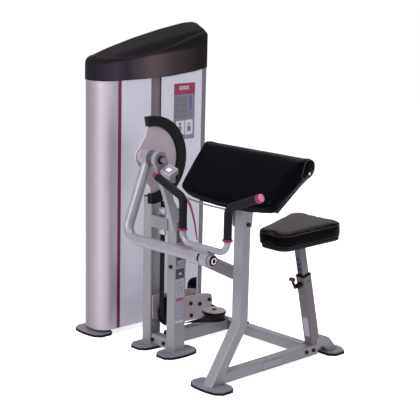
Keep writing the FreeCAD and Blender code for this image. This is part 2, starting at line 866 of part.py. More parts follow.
# The pin that locks the seat's height.
barrel_radius = 13
barrel_length = 24
pin_throw = 6.5
plunger_clear = 1
barrel_start = seat_post_size / 2
plunger_tip = inner_size / 2 + plunger_clear
knob_gap = 0.5
knob_rise = 46
knob_reach = 12
stalk_radius = 4
knob_radius = 10
knob_length = 34
barrel = rod(
    barrel_radius, seat_point(pin_along, barrel_start), seat_point(pin_along, barrel_start + barrel_length),
)
save("pin_barrel", barrel.cut(rod(plunger_bore, seat_point(pin_along), seat_point(pin_along, far))))
barrel_end = barrel_start + barrel_length + pin_throw
handle_line = barrel_end + 2 * stalk_radius
plunger = rod(plunger_radius, seat_point(pin_along, plunger_tip), seat_point(pin_along, handle_line))
stalk_foot = seat_point(pin_along, handle_line - stalk_radius)
knob_centre = seat_point(pin_along + knob_rise, handle_line + knob_reach)
stalk = rod(stalk_radius, stalk_foot, knob_centre)
knob_end = x_axis * (knob_length / 2)
knob = rod(knob_radius, knob_centre - knob_end, knob_centre + knob_end)
knob = knob.makeFillet(knob_radius - knob_gap, [edge for edge in knob.Edges if edge.Curve.TypeId == "Part::GeomCircle"])
save("pin_plunger", union([plunger, stalk]).cut(knob))
save("pin_knob", knob)

# Seat: a steel plate, and a cushion drawn in at its edges and crowned on top.
plate_half_x = 70
plate_half_y = 100
plate_round = 20
plate_corners = [(-1, -1), (1, -1), (1, 1), (-1, 1)]
seat_plate = plate_z(
    [(seat_x + a * plate_half_x, seat_centre_y + b * plate_half_y) for a, b in plate_corners], [plate_round] * 4,
    seat_plate_z - seat_plate_thick, seat_plate_z,
)
seat_board_thick = 12
seat_board_inset = 14
seat_front_corner = 72
seat_back_corner = 62
seat_edge = 34


def seat_outline(inset, z):
    """The seat's tapered plan, drawn in by inset, at height z."""
    front = seat_centre_y - seat_length / 2 + inset
    back = seat_centre_y + seat_length / 2 - inset
    narrow = seat_front_width / 2 - inset
    wide = seat_back_width / 2 - inset
    points = [
        Vector(seat_x - narrow, front, z), Vector(seat_x + narrow, front, z),
        Vector(seat_x + wide, back, z), Vector(seat_x - wide, back, z),
    ]
    bends = [max(corner - inset, seat_board_inset) for corner in (seat_front_corner, seat_back_corner)]
    return loop(points, [bends[0], bends[0], bends[1], bends[1]])


seat_board = Part.Face(seat_outline(seat_board_inset, seat_plate_z)).extrude(Vector(0, 0, seat_board_thick))
save("seat_board", tilted(group([seat_plate, seat_board])))
seat_low = seat_plate_z + seat_board_thick
seat_rise_shares = (0, 0.06, 0.2, 0.83, 0.93, 0.98, 1)
seat_inset_shares = (0.2, 0.06, 0, 0, 0.14, 0.42, 1)
seat_wires = [
    seat_outline(inset * seat_edge, seat_low + share * seat_thickness)
    for share, inset in zip(seat_rise_shares, seat_inset_shares)
]
save("seat_pad", tilted(Part.makeLoft(seat_wires, True, True)))

# Preacher pad: a fat roll along the upper edge that thins into a slab, lofted across the width.
slab_reach = 272
slab_bow = 33
slab_crown = 4
slab_high_corner = 10
slab_low_corner = 10
slab_narrowing = 0.35
corner_share = 1 - math.sqrt(0.5)
end_depth = 24
end_round = 12
end_pull = 2.5
end_place_shares = (0, 0.17, 0.42, 1)
end_inset_shares = (1, 0.42, 0.12, 0)
middle_shares = (0.12, 0.25, 0.38, 0.5, 0.62, 0.75, 0.88)
face_taper = math.radians(pad_face_taper)
under_taper = math.radians(pad_under_taper)


def fan_point(x, down, out, turn=0):
    """A point of the preacher pad, drawn towards its middle the lower down the slab it lies."""
    place = pad_point(x, down, out, turn)
    depth = (pad_roll_z + pad_roll_radius - place.z) / pad_width
    place.x = pad_centre_x + (x - pad_centre_x) * (1 - slab_narrowing * depth)
    return place


def pad_section(x, inset):
    """One slice of the preacher pad, in a plane that leans towards the pad's middle."""
    share = abs(x - pad_centre_x) / (pad_width / 2)
    reach = slab_reach - slab_bow * share ** 3 - end_pull * inset
    radius = pad_roll_radius - inset
    high = slab_high_corner
    low = slab_low_corner
    face = [radius / math.cos(face_taper) - down * math.tan(face_taper) for down in (reach - high, reach)]
    under = [down * math.tan(under_taper) - radius / math.cos(under_taper) for down in (reach, reach - low)]
    half_turn = radius * math.sqrt(0.5)
    roll = [
        fan_point(x, 0, radius, pad_face_taper), fan_point(x, -half_turn, half_turn), fan_point(x, -radius, 0),
        fan_point(x, -half_turn, -half_turn), fan_point(x, 0, -radius, -pad_under_taper),
    ]
    slab = [
        fan_point(x, reach - low, under[1]), fan_point(
            x, reach - low * corner_share, under[0] + low * corner_share,
        ),
        fan_point(x, reach, under[0] + low), fan_point(x, reach, face[1] - high),
        fan_point(x, reach - high * corner_share, face[1] - high * corner_share), fan_point(x, reach - high, face[0]),
    ]
    crown = fan_point(x, (reach - high) / 2, (radius + face[0]) / 2 + slab_crown)
    return Part.Wire([
        Part.Arc(roll[0], roll[1], roll[2]).toShape(),
        Part.Arc(roll[2], roll[3], roll[4]).toShape(),
        Part.makeLine(roll[4], slab[0]),
        Part.Arc(slab[0], slab[1], slab[2]).toShape(),
        Part.makeLine(slab[2], slab[3]),
        Part.Arc(slab[3], slab[4], slab[5]).toShape(),
        Part.Arc(slab[5], crown, roll[0]).toShape(),
    ])


pad_left = pad_centre_x - pad_width / 2
pad_right = pad_centre_x + pad_width / 2
ends = [(place * end_depth, inset * end_round) for place, inset in zip(end_place_shares, end_inset_shares)]
pad_slices = [pad_section(pad_left + place, inset) for place, inset in ends]
pad_slices += [pad_section(pad_left + share * pad_width, 0) for share in middle_shares]
pad_slices += [pad_section(pad_right - place, inset) for place, inset in ends[::-1]]
save("preacher_pad", Part.makeLoft(pad_slices, True, True))
board_inset = 55
board_start = 24
board_end = 215
save("pad_board", pad_block(
    pad_left + board_inset, pad_right - board_inset, board_start, board_end, -board_drop, -pad_roll_radius,
))

# Arm: shaft, hub and lever tube, and the cam plate with its rim.
lever_wall = 3
lever_x0 = -168
lever_x1 = -116
lever_hub = 39
lever_bend = 70
lever_end_x = 434
lever_point = Vector(arm_x, lower_arm_y, lower_arm_z)
cam_x0 = -201
cam_x1 = -171
cam_middle = (cam_x0 + cam_x1) / 2
cam_plate_half = 4
cam_centre_y = -253
cam_centre_z = 938
cam_radius = 205
cam_inner_y = -262
cam_inner = 159
cam_start = math.radians(-93)
cam_end = math.radians(100.5)
cam_back = math.radians(150)
cam_under = math.radians(210)
cam_far = 2 * cam_radius
bolt_head = 8
bolt_across = 24
axle_cap = 13
shaft = rod(shaft_radius, on_pivot(cam_x0), on_pivot(right_outer_x + soft_gap))
axle_bolt = rod(
    axle_cap + plug_height, on_pivot(right_outer_x + soft_gap), on_pivot(right_outer_x + bolt_head),
)
axle_nut = rod(axle_cap, on_pivot(right_outer_x + bolt_head), on_pivot(right_outer_x + 2 * bolt_head))
save("pivot_shaft", group([shaft, union([axle_bolt, axle_nut])]))
hub = rod(lever_hub, on_pivot(lever_x0), on_pivot(lever_x1))
lever_path = [on_pivot(arm_x), lever_point, Vector(lever_end_x, lower_arm_y, lower_arm_z)]
lever_pipe = bent_pipe(lever_path, [lever_bend], arm_radius, lever_wall)
lever_hub_solid = hub.cut(shaft)
lever_plug = rod(arm_radius, lever_path[-1], lever_path[-1] + x_axis * plug_height)


def cam_point(turn, radius):
    """A point of the cam's outer circle, as (y, z)."""
    return cam_centre_y + radius * math.cos(turn), cam_centre_z + radius * math.sin(turn)


disc = rod(cam_radius, Vector(cam_x0, cam_centre_y, cam_centre_z), Vector(cam_x1, cam_centre_y, cam_centre_z))
inner_disc = rod(
    cam_inner, Vector(cam_x0 - cut_over, cam_inner_y, cam_centre_z),
    Vector(cam_x1 + cut_over, cam_inner_y, cam_centre_z),
)
wedge_points = [
    (cam_centre_y, cam_centre_z), cam_point(cam_end, cam_far), cam_point(cam_back, cam_far),
    cam_point(cam_under, cam_far), cam_point(cam_start, cam_far),
]
wedge = plate_x(wedge_points, [0] * len(wedge_points), cam_x0 - cut_over, cam_x1 + cut_over)
rim = disc.cut(inner_disc).cut(wedge)
save("cam_rim", rim)
lobe = 43
plate_shares = (
    (-0.14, 1.27), (-0.14, 0.97), (-0.21, 0.72), (-0.47, 0.37), (-0.51, -0.05), (-0.29, -0.5), (0, -0.82), (0.02, -1.48),
    (1.64, -1.48), (1.64, 1.27),
)
plate_round_shares = (0, 0.05, 0.25, 0.07, 0.12, 0.15, 0.1, 0, 0, 0)
plate_points = [(cam_inner_y + a * cam_inner, cam_centre_z + b * cam_inner) for a, b in plate_shares]
plate_rounds = [share * cam_inner for share in plate_round_shares]
cam_plate = plate_x(plate_points, plate_rounds, cam_middle - cam_plate_half, cam_middle + cam_plate_half)
plate_disc = rod(
    cam_inner - soft_gap, Vector(cam_x0, cam_inner_y, cam_centre_z),
    Vector(cam_x1, cam_inner_y, cam_centre_z),
)
cam_plate = cam_plate.common(plate_disc)
cam_lobe = rod(lobe, on_pivot(cam_middle - cam_plate_half), on_pivot(cam_middle + cam_plate_half))
cam_boss = ring(lobe - 2 * cut_over, shaft_radius, on_pivot(cam_x0), on_pivot(lever_x0))
cam_sheet = union([cam_plate, cam_lobe]).cut(rod(lobe - 2 * cut_over, on_pivot(cam_x0), on_pivot(lever_x0)))
save("cam_plate", group([cam_sheet, cam_boss]))

# Strap from the rim's lower end, and the steel clamp that joins it to the lift belt.
belt_width = 30
belt_thick = 3
belt_y = -178
clamp_bottom = 570
clamp_top = 694
clamp_wide = 40
clamp_half = 6.5
belt_x0 = cam_middle - belt_width / 2
belt_x1 = cam_middle + belt_width / 2
clamp_sides = []
for side in (-1, 1):
    inner = belt_y + side * belt_thick / 2
    outer = belt_y + side * clamp_half
    clamp_sides.append(box(
        cam_middle - clamp_wide / 2, cam_middle + clamp_wide / 2, min(inner, outer), max(inner, outer), clamp_bottom, clamp_top,
    ))
clamp_bolts = []
clamp_head = 4
clamp_bolt = 4
for z in (clamp_bottom + clamp_wide / 2, clamp_top - clamp_wide / 2):
    for side in (-1, 1):
        x = cam_middle + side * (belt_width / 2 + clamp_bolt / 2)
        front = Vector(x, belt_y - clamp_half - clamp_head, z)
        clamp_bolts.append(hexagon(2 * clamp_bolt, clamp_head, front, y_axis))
save("belt_clamp", group(clamp_sides + clamp_bolts))

# Pulleys: bottom (axis x), floor (axis z), tower low (axis y) and two at the tower's top (axis x).
groove = 31
flange_wall = 3
belt_clear = 0.3
axle_radius = 8
pulley_hub = 18
web_depth = 8
bottom_pulley = Vector(cam_middle, -107, 176)
bottom_radius = 71
floor_line_z = bottom_pulley.z - bottom_radius
floor_radius = 55
floor_pulley = Vector(base_tube_x, 166, floor_line_z)
small_radius = 36
low_pulley = Vector(stack_x + small_radius, 319, floor_line_z + small_radius)
top_pulley_z = 1218
rear_pulley = Vector(stack_x, low_pulley.y - small_radius, top_pulley_z)
front_pulley = Vector(stack_x, stack_y + small_radius, top_pulley_z)


def pulley(centre, axis, radius, rim):
    """A belt pulley: a core for the belt, two flanges, a hollowed face and a bored hub."""
    half = groove / 2
    core = rod(radius - belt_thick / 2 - belt_clear, centre - axis * half, centre + axis * half)
    sides = [
        rod(rim, centre + axis * half, centre + axis * (half + flange_wall)),
        rod(rim, centre - axis * (half + flange_wall), centre - axis * half),
    ]
    whole = core.fuse(sides[0]).fuse(sides[1])
    face = half + flange_wall
    for side in (-1, 1):
        start = centre + axis * (side * face)
        end = centre + axis * (side * (face - web_depth))
        whole = whole.cut(ring(radius - 2 * web_depth / 2 - cut_over, pulley_hub, start, end))
    return whole.cut(rod(axle_radius + shaft_fit, centre - axis * far, centre + axis * far)).removeSplitter()


rim_over = 7
save("bottom_pulley", pulley(bottom_pulley, x_axis, bottom_radius, bottom_radius + rim_over))
save("floor_pulley", pulley(floor_pulley, z_axis, floor_radius, floor_radius + rim_over))
save("tower_low_pulley", pulley(low_pulley, y_axis, small_radius, small_radius + cut_over))
save("tower_rear_pulley", pulley(rear_pulley, x_axis, small_radius, small_radius + cut_over))
save("tower_front_pulley", pulley(front_pulley, x_axis, small_radius, small_radius + cut_over))


# Belt: whole along its real way, with the runs between pulleys twisted a quarter turn.
def belt_section(middle, wide, thick):
    """A belt slice: wide and thick are the unit directions of its two sides."""
    a = wide * (belt_width / 2)
    b = thick * (belt_thick / 2)
    corners = [middle - a - b, middle + a - b, middle + a + b, middle - a + b]
    return Part.makePolygon(corners + corners[:1])


run_steps = 8


def twisted_run(start, end, wide0, wide1, flat0, flat1):
    """A straight run that turns evenly from one side direction to the other between two flat ends."""
    along = (end - start).normalize()
    length = (end - start).Length
    places = [0, flat0] if flat0 else [0]
    places += [flat0 + (length - flat0 - flat1) * i / run_steps for i in range(1, run_steps)]
    places += [length - flat1, length] if flat1 else [length]
    wires = []
    for place in places:
        turn = min(max((place - flat0) / (length - flat0 - flat1), 0), 1) * math.pi / 2
        wide = wide0 * math.cos(turn) + wide1 * math.sin(turn)
        wires.append(belt_section(start + along * place, wide, along.cross(wide).normalize()))
    return Part.makeLoft(wires, True, True)


def wrap_arc(centre, axis, radius, turn0, turn1, zero):
    """The belt's part round a pulley from turn0 to turn1, counted from the direction zero."""
    start = FreeCAD.Rotation(axis, turn0).multVec(zero)
    middle = centre + start * radius
    along = axis.cross(start)
    wire = belt_section(middle, axis, start)
    face = Part.Face(wire)
    return face.revolve(centre, axis, turn1 - turn0)


clear_run = 36
way_in = Vector(cam_middle, bottom_pulley.y + clear_run, floor_line_z)
gap_x = floor_pulley.x - way_in.x
gap_y = floor_pulley.y - way_in.y
reach = math.hypot(gap_x, gap_y)
turn_in = math.atan2(-gap_y, -gap_x) + math.acos(floor_radius / reach)
floor_in = floor_pulley + Vector(math.cos(turn_in), math.sin(turn_in), 0) * floor_radius
short_run = 22
way_out = Vector(low_pulley.x + short_run, low_pulley.y, floor_line_z)
out_x = way_out.x - floor_pulley.x
out_y = way_out.y - floor_pulley.y
turn_out = math.atan2(out_y, out_x) - math.acos(floor_radius / math.hypot(out_x, out_y))
floor_out = floor_pulley + Vector(math.cos(turn_out), math.sin(turn_out), 0) * floor_radius
rise_top = Vector(stack_x, low_pulley.y, top_pulley_z)
rise_bottom = Vector(stack_x, low_pulley.y, low_pulley.z)
over_start = Vector(stack_x, rear_pulley.y, top_pulley_z + small_radius)
over_end = Vector(stack_x, front_pulley.y, top_pulley_z + small_radius)
belt_parts = [
    box(belt_x0, belt_x1, belt_y - belt_thick / 2, belt_y + belt_thick / 2, bottom_pulley.z, clamp_top),
    wrap_arc(bottom_pulley, x_axis, bottom_radius, 0, 90, -y_axis),
    box(
        belt_x0, belt_x1, bottom_pulley.y, way_in.y, floor_line_z - belt_thick / 2,
        floor_line_z + belt_thick / 2,
    ),
    twisted_run(way_in, floor_in, x_axis, z_axis, 0, clear_run),
    wrap_arc(floor_pulley, z_axis, floor_radius, math.degrees(turn_in), math.degrees(turn_out), x_axis),
    twisted_run(floor_out, way_out, z_axis, y_axis, clear_run, 0),
    box(low_pulley.x, way_out.x, low_pulley.y - belt_width / 2, low_pulley.y + belt_width / 2,
        floor_line_z - belt_thick / 2, floor_line_z + belt_thick / 2),
    wrap_arc(low_pulley, y_axis, small_radius, 0, 90, -z_axis),
    twisted_run(rise_bottom, rise_top, y_axis, x_axis, clear_run, clear_run),
    wrap_arc(rear_pulley, x_axis, small_radius, 0, 90, y_axis),
    box(stack_x - belt_width / 2, stack_x + belt_width / 2, over_end.y, over_start.y, over_start.z - belt_thick / 2,
        over_start.z + belt_thick / 2),
    wrap_arc(front_pulley, x_axis, small_radius, 0, 90, z_axis),
]
save("lift_belt", group(belt_parts))
strap_gap = 6
strap_turn = -76
strap_radius = cam_radius + soft_gap + belt_thick / 2
strap_centre = Vector(cam_middle, cam_centre_y, cam_centre_z)
strap_zero = FreeCAD.Rotation(x_axis, strap_turn).multVec(y_axis)
strap_leaves = strap_centre + strap_zero * strap_radius
bend_radius = (belt_y - strap_leaves.y) / (1 + strap_zero.y)
bend_centre = strap_leaves + strap_zero * bend_radius
strap_hang = Vector(cam_middle, belt_y, bend_centre.z)
save("cam_strap", group([
    wrap_arc(strap_centre, x_axis, strap_radius, math.degrees(cam_start), strap_turn, y_axis),
    wrap_arc(bend_centre, -x_axis, bend_radius, 0, 180 + strap_turn, -strap_zero),
    box(
        belt_x0, belt_x1, belt_y - belt_thick / 2, belt_y + belt_thick / 2, clamp_top + strap_gap,
        bend_centre.z,
    ),
]))
drop_bottom = stack_top + top_plate_height + head_height
drop = box(
    stack_x - belt_width / 2, stack_x + belt_width / 2, stack_y - belt_thick / 2, stack_y + belt_thick / 2, drop_bottom,
    top_pulley_z,
)
save("belt_drop", drop)

# Axles, side plates and the guard disc that hold the pulleys.
cheek_thick = 6
cheek_points = [
    (-200, 141), (10, 131), (22, 175), (88, 180), (96, 206), (88, 243), (40, 254), (-200, 262),
]
cheek_rounds = [10, 16, 14, 14, 12, 14, 20, 10]
cheeks = []
for inner, outer in (
    (right_inner_x - cheek_thick, right_inner_x), (left_inner_x, left_inner_x + cheek_thick),
):
    cheeks.append(plate_x(cheek_points, cheek_rounds, inner, outer))
axle_at = [(bottom_pulley.y, bottom_pulley.z), (8, 206), (72, 217)]
cheek_left = left_inner_x
cheek_right = right_inner_x
axles = []
for y, z in axle_at:
    axle = rod(axle_radius, Vector(cheek_left, y, z), Vector(cheek_right, y, z))
    cheeks = [cheek.cut(axle) for cheek in cheeks]
    axles.append(axle)
guard_radius = 42
guard_thick = 4
guard_z = floor_pulley.z + groove / 2 + flange_wall + cheek_thick / 4
floor_axle = rod(
    axle_radius, Vector(floor_pulley.x, floor_pulley.y, base_tube_top),
    Vector(floor_pulley.x, floor_pulley.y, guard_z),
)
axles.append(floor_axle)
guard_at = Vector(floor_pulley.x, floor_pulley.y, guard_z)
guard = rod(guard_radius, guard_at, guard_at + z_axis * guard_thick)
save("pulley_guards", group(cheeks + [guard]))
fork_gap = 1.5
fork_thick = 5
fork_half = groove / 2 + flange_wall + fork_gap
post_face_y = tower_post_back_y - tower_tube / 2
fork_front = low_pulley.y - fork_half
fork = [
    box(stack_x - tower_tube / 2, low_pulley.x + pulley_hub, fork_front - fork_thick, fork_front, base_top,
        low_pulley.z + pulley_hub),
    box(stack_x - tower_tube / 2, low_pulley.x + pulley_hub, low_pulley.y + fork_half, post_face_y, base_top,
        low_pulley.z + pulley_hub),
]
low_axle = rod(
    axle_radius, Vector(low_pulley.x, fork_front - fork_thick, low_pulley.z),
    Vector(low_pulley.x, post_face_y, low_pulley.z),
)
fork = [piece.cut(low_axle) for piece in fork]
save("tower_frame", group([base_beam] + tower_posts + rails + ribs + fork))
axles.append(low_axle)
rail_inner = tower_tube / 2
for centre in (rear_pulley, front_pulley):
    axles.append(rod(axle_radius, centre - x_axis * rail_inner, centre + x_axis * rail_inner))
save("pulley_axles", group(axles))

# Handle: a collar that turns on the lever tube, and a bent bar with grips.
collar_radius = 32
collar_x0 = 308
collar_x1 = 424
collar_fit = 0.1
stop_x = 374
stop_radius = 5
stop_half_slot = 6
stop_turn = 200
stop_sunk = 1
stop_stands = 2
handle_y = -446
handle_low_z = 654
handle_half = 138
handle_bend_z = 850
handle_tip_x = 307
handle_tip_z = 916.5
handle_radius = 14
handle_wall = 3
handle_low_bend = 50
handle_high_bend = 40
handle_bends = [handle_high_bend, handle_low_bend, handle_low_bend, handle_high_bend]
saddle_margin = 60
grip_radius = 18
grip_start = 716
ring_height = 9
ring_radius = 22
cap_length = 12
cap_lip = 1


def on_lever(x):
    """A point of the lever tube's lower line."""
    return Vector(x, lower_arm_y, lower_arm_z)


collar = ring(collar_radius, arm_radius + collar_fit, on_lever(collar_x0), on_lever(collar_x1))
slot_turns = (131, 214)
slot_far = 2 * collar_radius
slot_steps = [slot_turns[0] + i * (slot_turns[1] - slot_turns[0]) / 4 for i in range(5)]
slot_points = [(lower_arm_y, lower_arm_z)]
slot_points += [
    (lower_arm_y + slot_far * math.cos(math.radians(turn)), lower_arm_z + slot_far * math.sin(math.radians(turn)))
    for turn in slot_steps
]
collar_slot = plate_x(slot_points, [0] * len(slot_points), stop_x - stop_half_slot, stop_x + stop_half_slot)
pin_turn = math.radians(stop_turn)
pin_way = Vector(0, math.cos(pin_turn), math.sin(pin_turn))
stop_foot = on_lever(stop_x) + pin_way * (arm_radius - stop_sunk)
stop_head = on_lever(stop_x) + pin_way * (collar_radius + stop_stands)
stop_pin = rod(stop_radius, stop_foot, stop_head)
lever_solid = rod(arm_radius, on_lever(collar_x0), on_lever(collar_x1))
save("lever_arm", group([lever_hub_solid, lever_pipe.cut(hub), lever_plug, stop_pin.cut(lever_solid)]))
saddle_half = 12
saddle = box(
    collar_x0 + saddle_half, collar_x1 - saddle_half, handle_y - saddle_half, handle_y + saddle_half, lower_arm_z, handle_low_z,
)
handle_points = [
    Vector(station_x - handle_tip_x, handle_y, handle_tip_z), Vector(station_x - handle_half, handle_y, handle_bend_z),
    Vector(station_x - handle_half, handle_y, handle_low_z), Vector(station_x + handle_half, handle_y, handle_low_z),
    Vector(station_x + handle_half, handle_y, handle_bend_z), Vector(station_x + handle_tip_x, handle_y, handle_tip_z),
]
handle_pipe = bent_pipe(handle_points, handle_bends, handle_radius, handle_wall)
handle_core = rod(
    handle_radius, handle_points[2] + x_axis * saddle_margin, handle_points[3] - x_axis * saddle_margin,
)
collar = collar.cut(handle_core)
saddle = saddle.cut(handle_core).cut(rod(collar_radius, on_lever(0), on_lever(far)))
save("swivel_collar", group([collar.cut(collar_slot), saddle]))
save("handle_bar", handle_pipe.cut(rod(collar_radius, on_lever(collar_x0), on_lever(collar_x1))))
grips = []
rings = []
grip_caps = []
for side in (-1, 1):
    x = station_x + side * handle_half
    foot_at = Vector(x, handle_y, grip_start)
    bend = Vector(x, handle_y, handle_bend_z)
    tip = Vector(station_x + side * handle_tip_x, handle_y, handle_tip_z)
    way = (tip - bend).normalize()
    grip_path = [foot_at, bend, tip]
    grips.append(bent_pipe(grip_path, [handle_high_bend], grip_radius, grip_radius - handle_radius))
    rings.append(ring(ring_radius, handle_radius, foot_at - z_axis * ring_height, foot_at))
    grip_caps.append(rod(grip_radius + cap_lip, tip, tip + way * cap_length))
save("handle_grips", group(grips))
save("grip_trims", group(rings + grip_caps))

# Counter beside the pivot: a square housing on a bracket, with a window and two buttons.
counter_centre = Vector(-10, -303, 920)
counter_normal = Vector(0.263, -0.434, 0.862).normalize()
counter_up = Vector(0.08, 0.89, 0.44)
counter_up = (counter_up - counter_normal * counter_up.dot(counter_normal)).normalize()
counter_side = counter_up.cross(counter_normal)
counter_size = 62
counter_deep = 24
counter_corner = 8
window_size = 42
window_deep = 1.2
button_radius = 3.2
button_drop = 24
button_apart = 11
button_high = 1.5
button_bore = 4


def counter_point(side, up, out=0):
    """A point on the counter's face."""
    return counter_centre + counter_side * side + counter_up * up + counter_normal * out


def counter_block(width, height, bend, side, up, out0, out1):
    """A rounded block square to the counter's face."""
    face = Part.Face(rectangle(width, height, bend, counter_point(side, up, out0), counter_side, counter_up))
    return face.extrude(counter_normal * (out1 - out0))


housing = counter_block(counter_size, counter_size, counter_corner, 0, 0, -counter_deep, 0)
window_up = 4
window = counter_block(window_size, window_size - counter_corner, 2, 0, window_up, -window_deep, 0)
save("counter_window", window)
housing = housing.cut(window)
buttons = []
for side in (-1, 1):
    foot_at = counter_point(side * button_apart, -button_drop, -button_bore)
    housing = housing.cut(rod(button_radius + shaft_fit, foot_at, foot_at + counter_normal * far))
    buttons.append(rod(button_radius, counter_point(side * button_apart, -button_drop, button_high - button_bore),
                       counter_point(side * button_apart, -button_drop, button_high)))
save("counter_button_left", buttons[0])
save("counter_button_right", buttons[1])
foot_front_y = -322
foot_back_y = -262
foot_low_z = 856
foot_high_z = 900
bracket_block = box(right_outer_x, counter_centre.x, foot_front_y, foot_back_y, foot_low_z, foot_high_z)
counter_back = counter_block(
    4 * counter_size, 4 * counter_size, counter_corner, 0, 0, -counter_deep, 4 * counter_size,
)
counter_bracket = bracket_block.cut(counter_back).cut(rod(hub_radius, on_pivot(-far), on_pivot(far)))
save("counter_housing", group([housing, counter_bracket]))

# Dark plugs on open tube ends, and the bolts of the frame.
bolts = []
small_across = 17
small_head = 7
left_bolt_inset = 12
right_bolt_inset = 24
cross_bolt_z = 42
bar_bolt_z = 436
rear_bolt_x = -50
inner_bolts_at = ((-53, 220), (-48, 158))
elbow_bolts_y = (218, 268)
elbow_bolt_z = 46
bracket_bolt_z = 728
for x in (left_inner_x + left_bolt_inset, right_inner_x - right_bolt_inset):
    bolts.append(hexagon(small_across, small_head, Vector(x, cross_y - tube / 2 - small_head, cross_bolt_z), y_axis))
bolts.append(hexagon(small_across, small_head, Vector(right_upright_x, cross_front_y - small_head, bar_bolt_z), y_axis))
bolts.append(hexagon(small_across, small_head, Vector(rear_bolt_x, rear_tube_y + tube / 4, floor_gap + tube), z_axis))
for y, z in inner_bolts_at:
    bolts.append(hexagon(small_across, small_head, Vector(right_inner_x, y, z), x_axis))
for y, z in axle_at:
    bolts.append(hexagon(small_across, small_head, Vector(right_inner_x, y, z), x_axis))
    bolts.append(hexagon(small_across, small_head, Vector(left_inner_x - small_head, y, z), x_axis))
bolts.append(hexagon(bolt_across, bolt_head, guard_at + z_axis * guard_thick, z_axis))
for y in elbow_bolts_y:
    bolts.append(hexagon(small_across, small_head, Vector(station_x + tube / 2, y, elbow_bolt_z), x_axis))
bolts.append(hexagon(small_across, small_head, Vector(station_x + tube / 2 + bracket_plate, post_y, bracket_bolt_z), x_axis))
save("bolts_and_plugs", group(bolts + [left_plug, right_plug, base_plug]))
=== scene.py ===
# %% [markdown]
# # A biceps curl machine, built around its imported CAD frame
# The CAD model already gives every tube, plate, pulley and bolt its real size and its joints. This file
# loads it, and adds what CAD is poor at: padded vinyl, moulded plastic, painted steel, printed panels, weld
# seams and light. Everything is in metres, z is up, and the user faces -y.

# %% Load the imported frame
import bmesh
import bpy
import json
import math
import numpy as np
from mathutils import Matrix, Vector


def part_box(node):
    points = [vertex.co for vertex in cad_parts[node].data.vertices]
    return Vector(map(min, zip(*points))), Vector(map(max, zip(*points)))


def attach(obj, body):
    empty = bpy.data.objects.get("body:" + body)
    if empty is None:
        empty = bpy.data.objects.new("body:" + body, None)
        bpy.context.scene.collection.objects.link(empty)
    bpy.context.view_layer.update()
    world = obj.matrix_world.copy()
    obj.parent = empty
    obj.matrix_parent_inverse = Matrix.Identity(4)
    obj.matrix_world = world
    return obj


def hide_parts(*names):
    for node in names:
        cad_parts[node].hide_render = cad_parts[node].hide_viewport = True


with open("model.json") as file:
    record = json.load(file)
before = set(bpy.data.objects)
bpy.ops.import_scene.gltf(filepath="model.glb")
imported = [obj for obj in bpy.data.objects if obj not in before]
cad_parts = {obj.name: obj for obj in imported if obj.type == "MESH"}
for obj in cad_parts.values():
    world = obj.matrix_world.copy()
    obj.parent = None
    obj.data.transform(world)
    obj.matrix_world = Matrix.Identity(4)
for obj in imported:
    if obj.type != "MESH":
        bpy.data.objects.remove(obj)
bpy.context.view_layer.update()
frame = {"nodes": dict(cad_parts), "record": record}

# %% [markdown]
# ## Camera
# The photograph was taken from the front right, a little above the seat, with a long lens. The camera is
# given by where it stands and by three directions: the picture's right, its up, and the way it looks. A
# long lens far away keeps the tower's edges nearly parallel, as they are in the photograph.

# %% Camera
camera_at = np.array([3.955, -3.905, 1.88])
picture_right = np.array([0.69441, 0.7192, 0.02323])
picture_up = np.array([-0.16577, 0.12848, 0.97776])
looking = np.array([-0.70022, 0.68282, -0.20844])


def placed(name, data):
    """A new object that holds the data, linked into the scene."""
    thing = bpy.data.objects.new(name, data)
    bpy.context.collection.objects.link(thing)
    return thing


def standing(right, up, back, place):
    """A pose whose x, y and z axes are the three directions, at that place."""
    pose = np.eye(4)
    pose[:3] = np.column_stack([right, up, back, place])
    return Matrix(pose.tolist())


camera_data = bpy.data.cameras.new("camera")
camera_data.sensor_width = 36.0
camera_data.lens = 102.75
camera_data.clip_end = 60.0
camera = placed("camera", camera_data)
camera.matrix_world = standing(picture_right, picture_up, -looking, camera_at)
bpy.context.scene.camera = camera
bpy.context.scene.view_settings.view_transform = "Standard"
print("camera stands", round(float(np.linalg.norm(camera_at)), 2), "m away")

# %% [markdown]
# ## Sheets of points
# Every new piece is a sheet of points worked out with numpy: a grid of rows and columns whose places come
# from a formula. Closing the grid in one direction gives a tube, and closing both gives a ring. A disc of
# faces shuts an open end. The last helper makes the mesh object and lets it ride on a CAD body.

# %% Grid surfaces
def grid_faces(rows, columns, close_rows=False, close_columns=False):
    """Quads between neighbours of a grid; a closed direction joins its last line to its first."""
    row = np.arange(rows if close_rows else rows - 1)
    column = np.arange(columns if close_columns else columns - 1)
    i, j = np.meshgrid(row, column, indexing="ij")
    i1 = (i + 1) % rows
    j1 = (j + 1) % columns
    quads = np.stack([i * columns + j, i1 * columns + j, i1 * columns + j1, i * columns + j1], axis=-1)
    return quads.reshape(-1, 4).tolist()


def tube_faces(rows, columns):
    """The faces of a tube of that many rings, with a disc of one face at each end."""
    last = (rows - 1) * columns
    discs = [list(range(columns))[::-1], list(range(last, last + columns))]
    return grid_faces(rows, columns, close_columns=True) + discs


def merged(mesh, distance):
    """Joins points that are nearer than distance, and turns every face outwards."""
    shell = bmesh.new()
    shell.from_mesh(mesh)
    bmesh.ops.remove_doubles(shell, verts=shell.verts, dist=distance)
    bmesh.ops.recalc_face_normals(shell, faces=shell.faces)
    shell.to_mesh(mesh)
    shell.free()


def mesh_piece(name, points, faces, body, material, smooth=True):
    """A mesh object from an array of points and a list of faces, riding on a CAD body."""
    mesh = bpy.data.meshes.new(name)
    mesh.from_pydata(np.asarray(points).reshape(-1, 3).tolist(), [], faces)
    mesh.validate()
    merged(mesh, 2e-6)
    mesh.polygons.foreach_set("use_smooth", [smooth] * len(mesh.polygons))
    piece = placed(name, mesh)
    mesh.materials.append(material)
    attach(piece, body)
    return piece


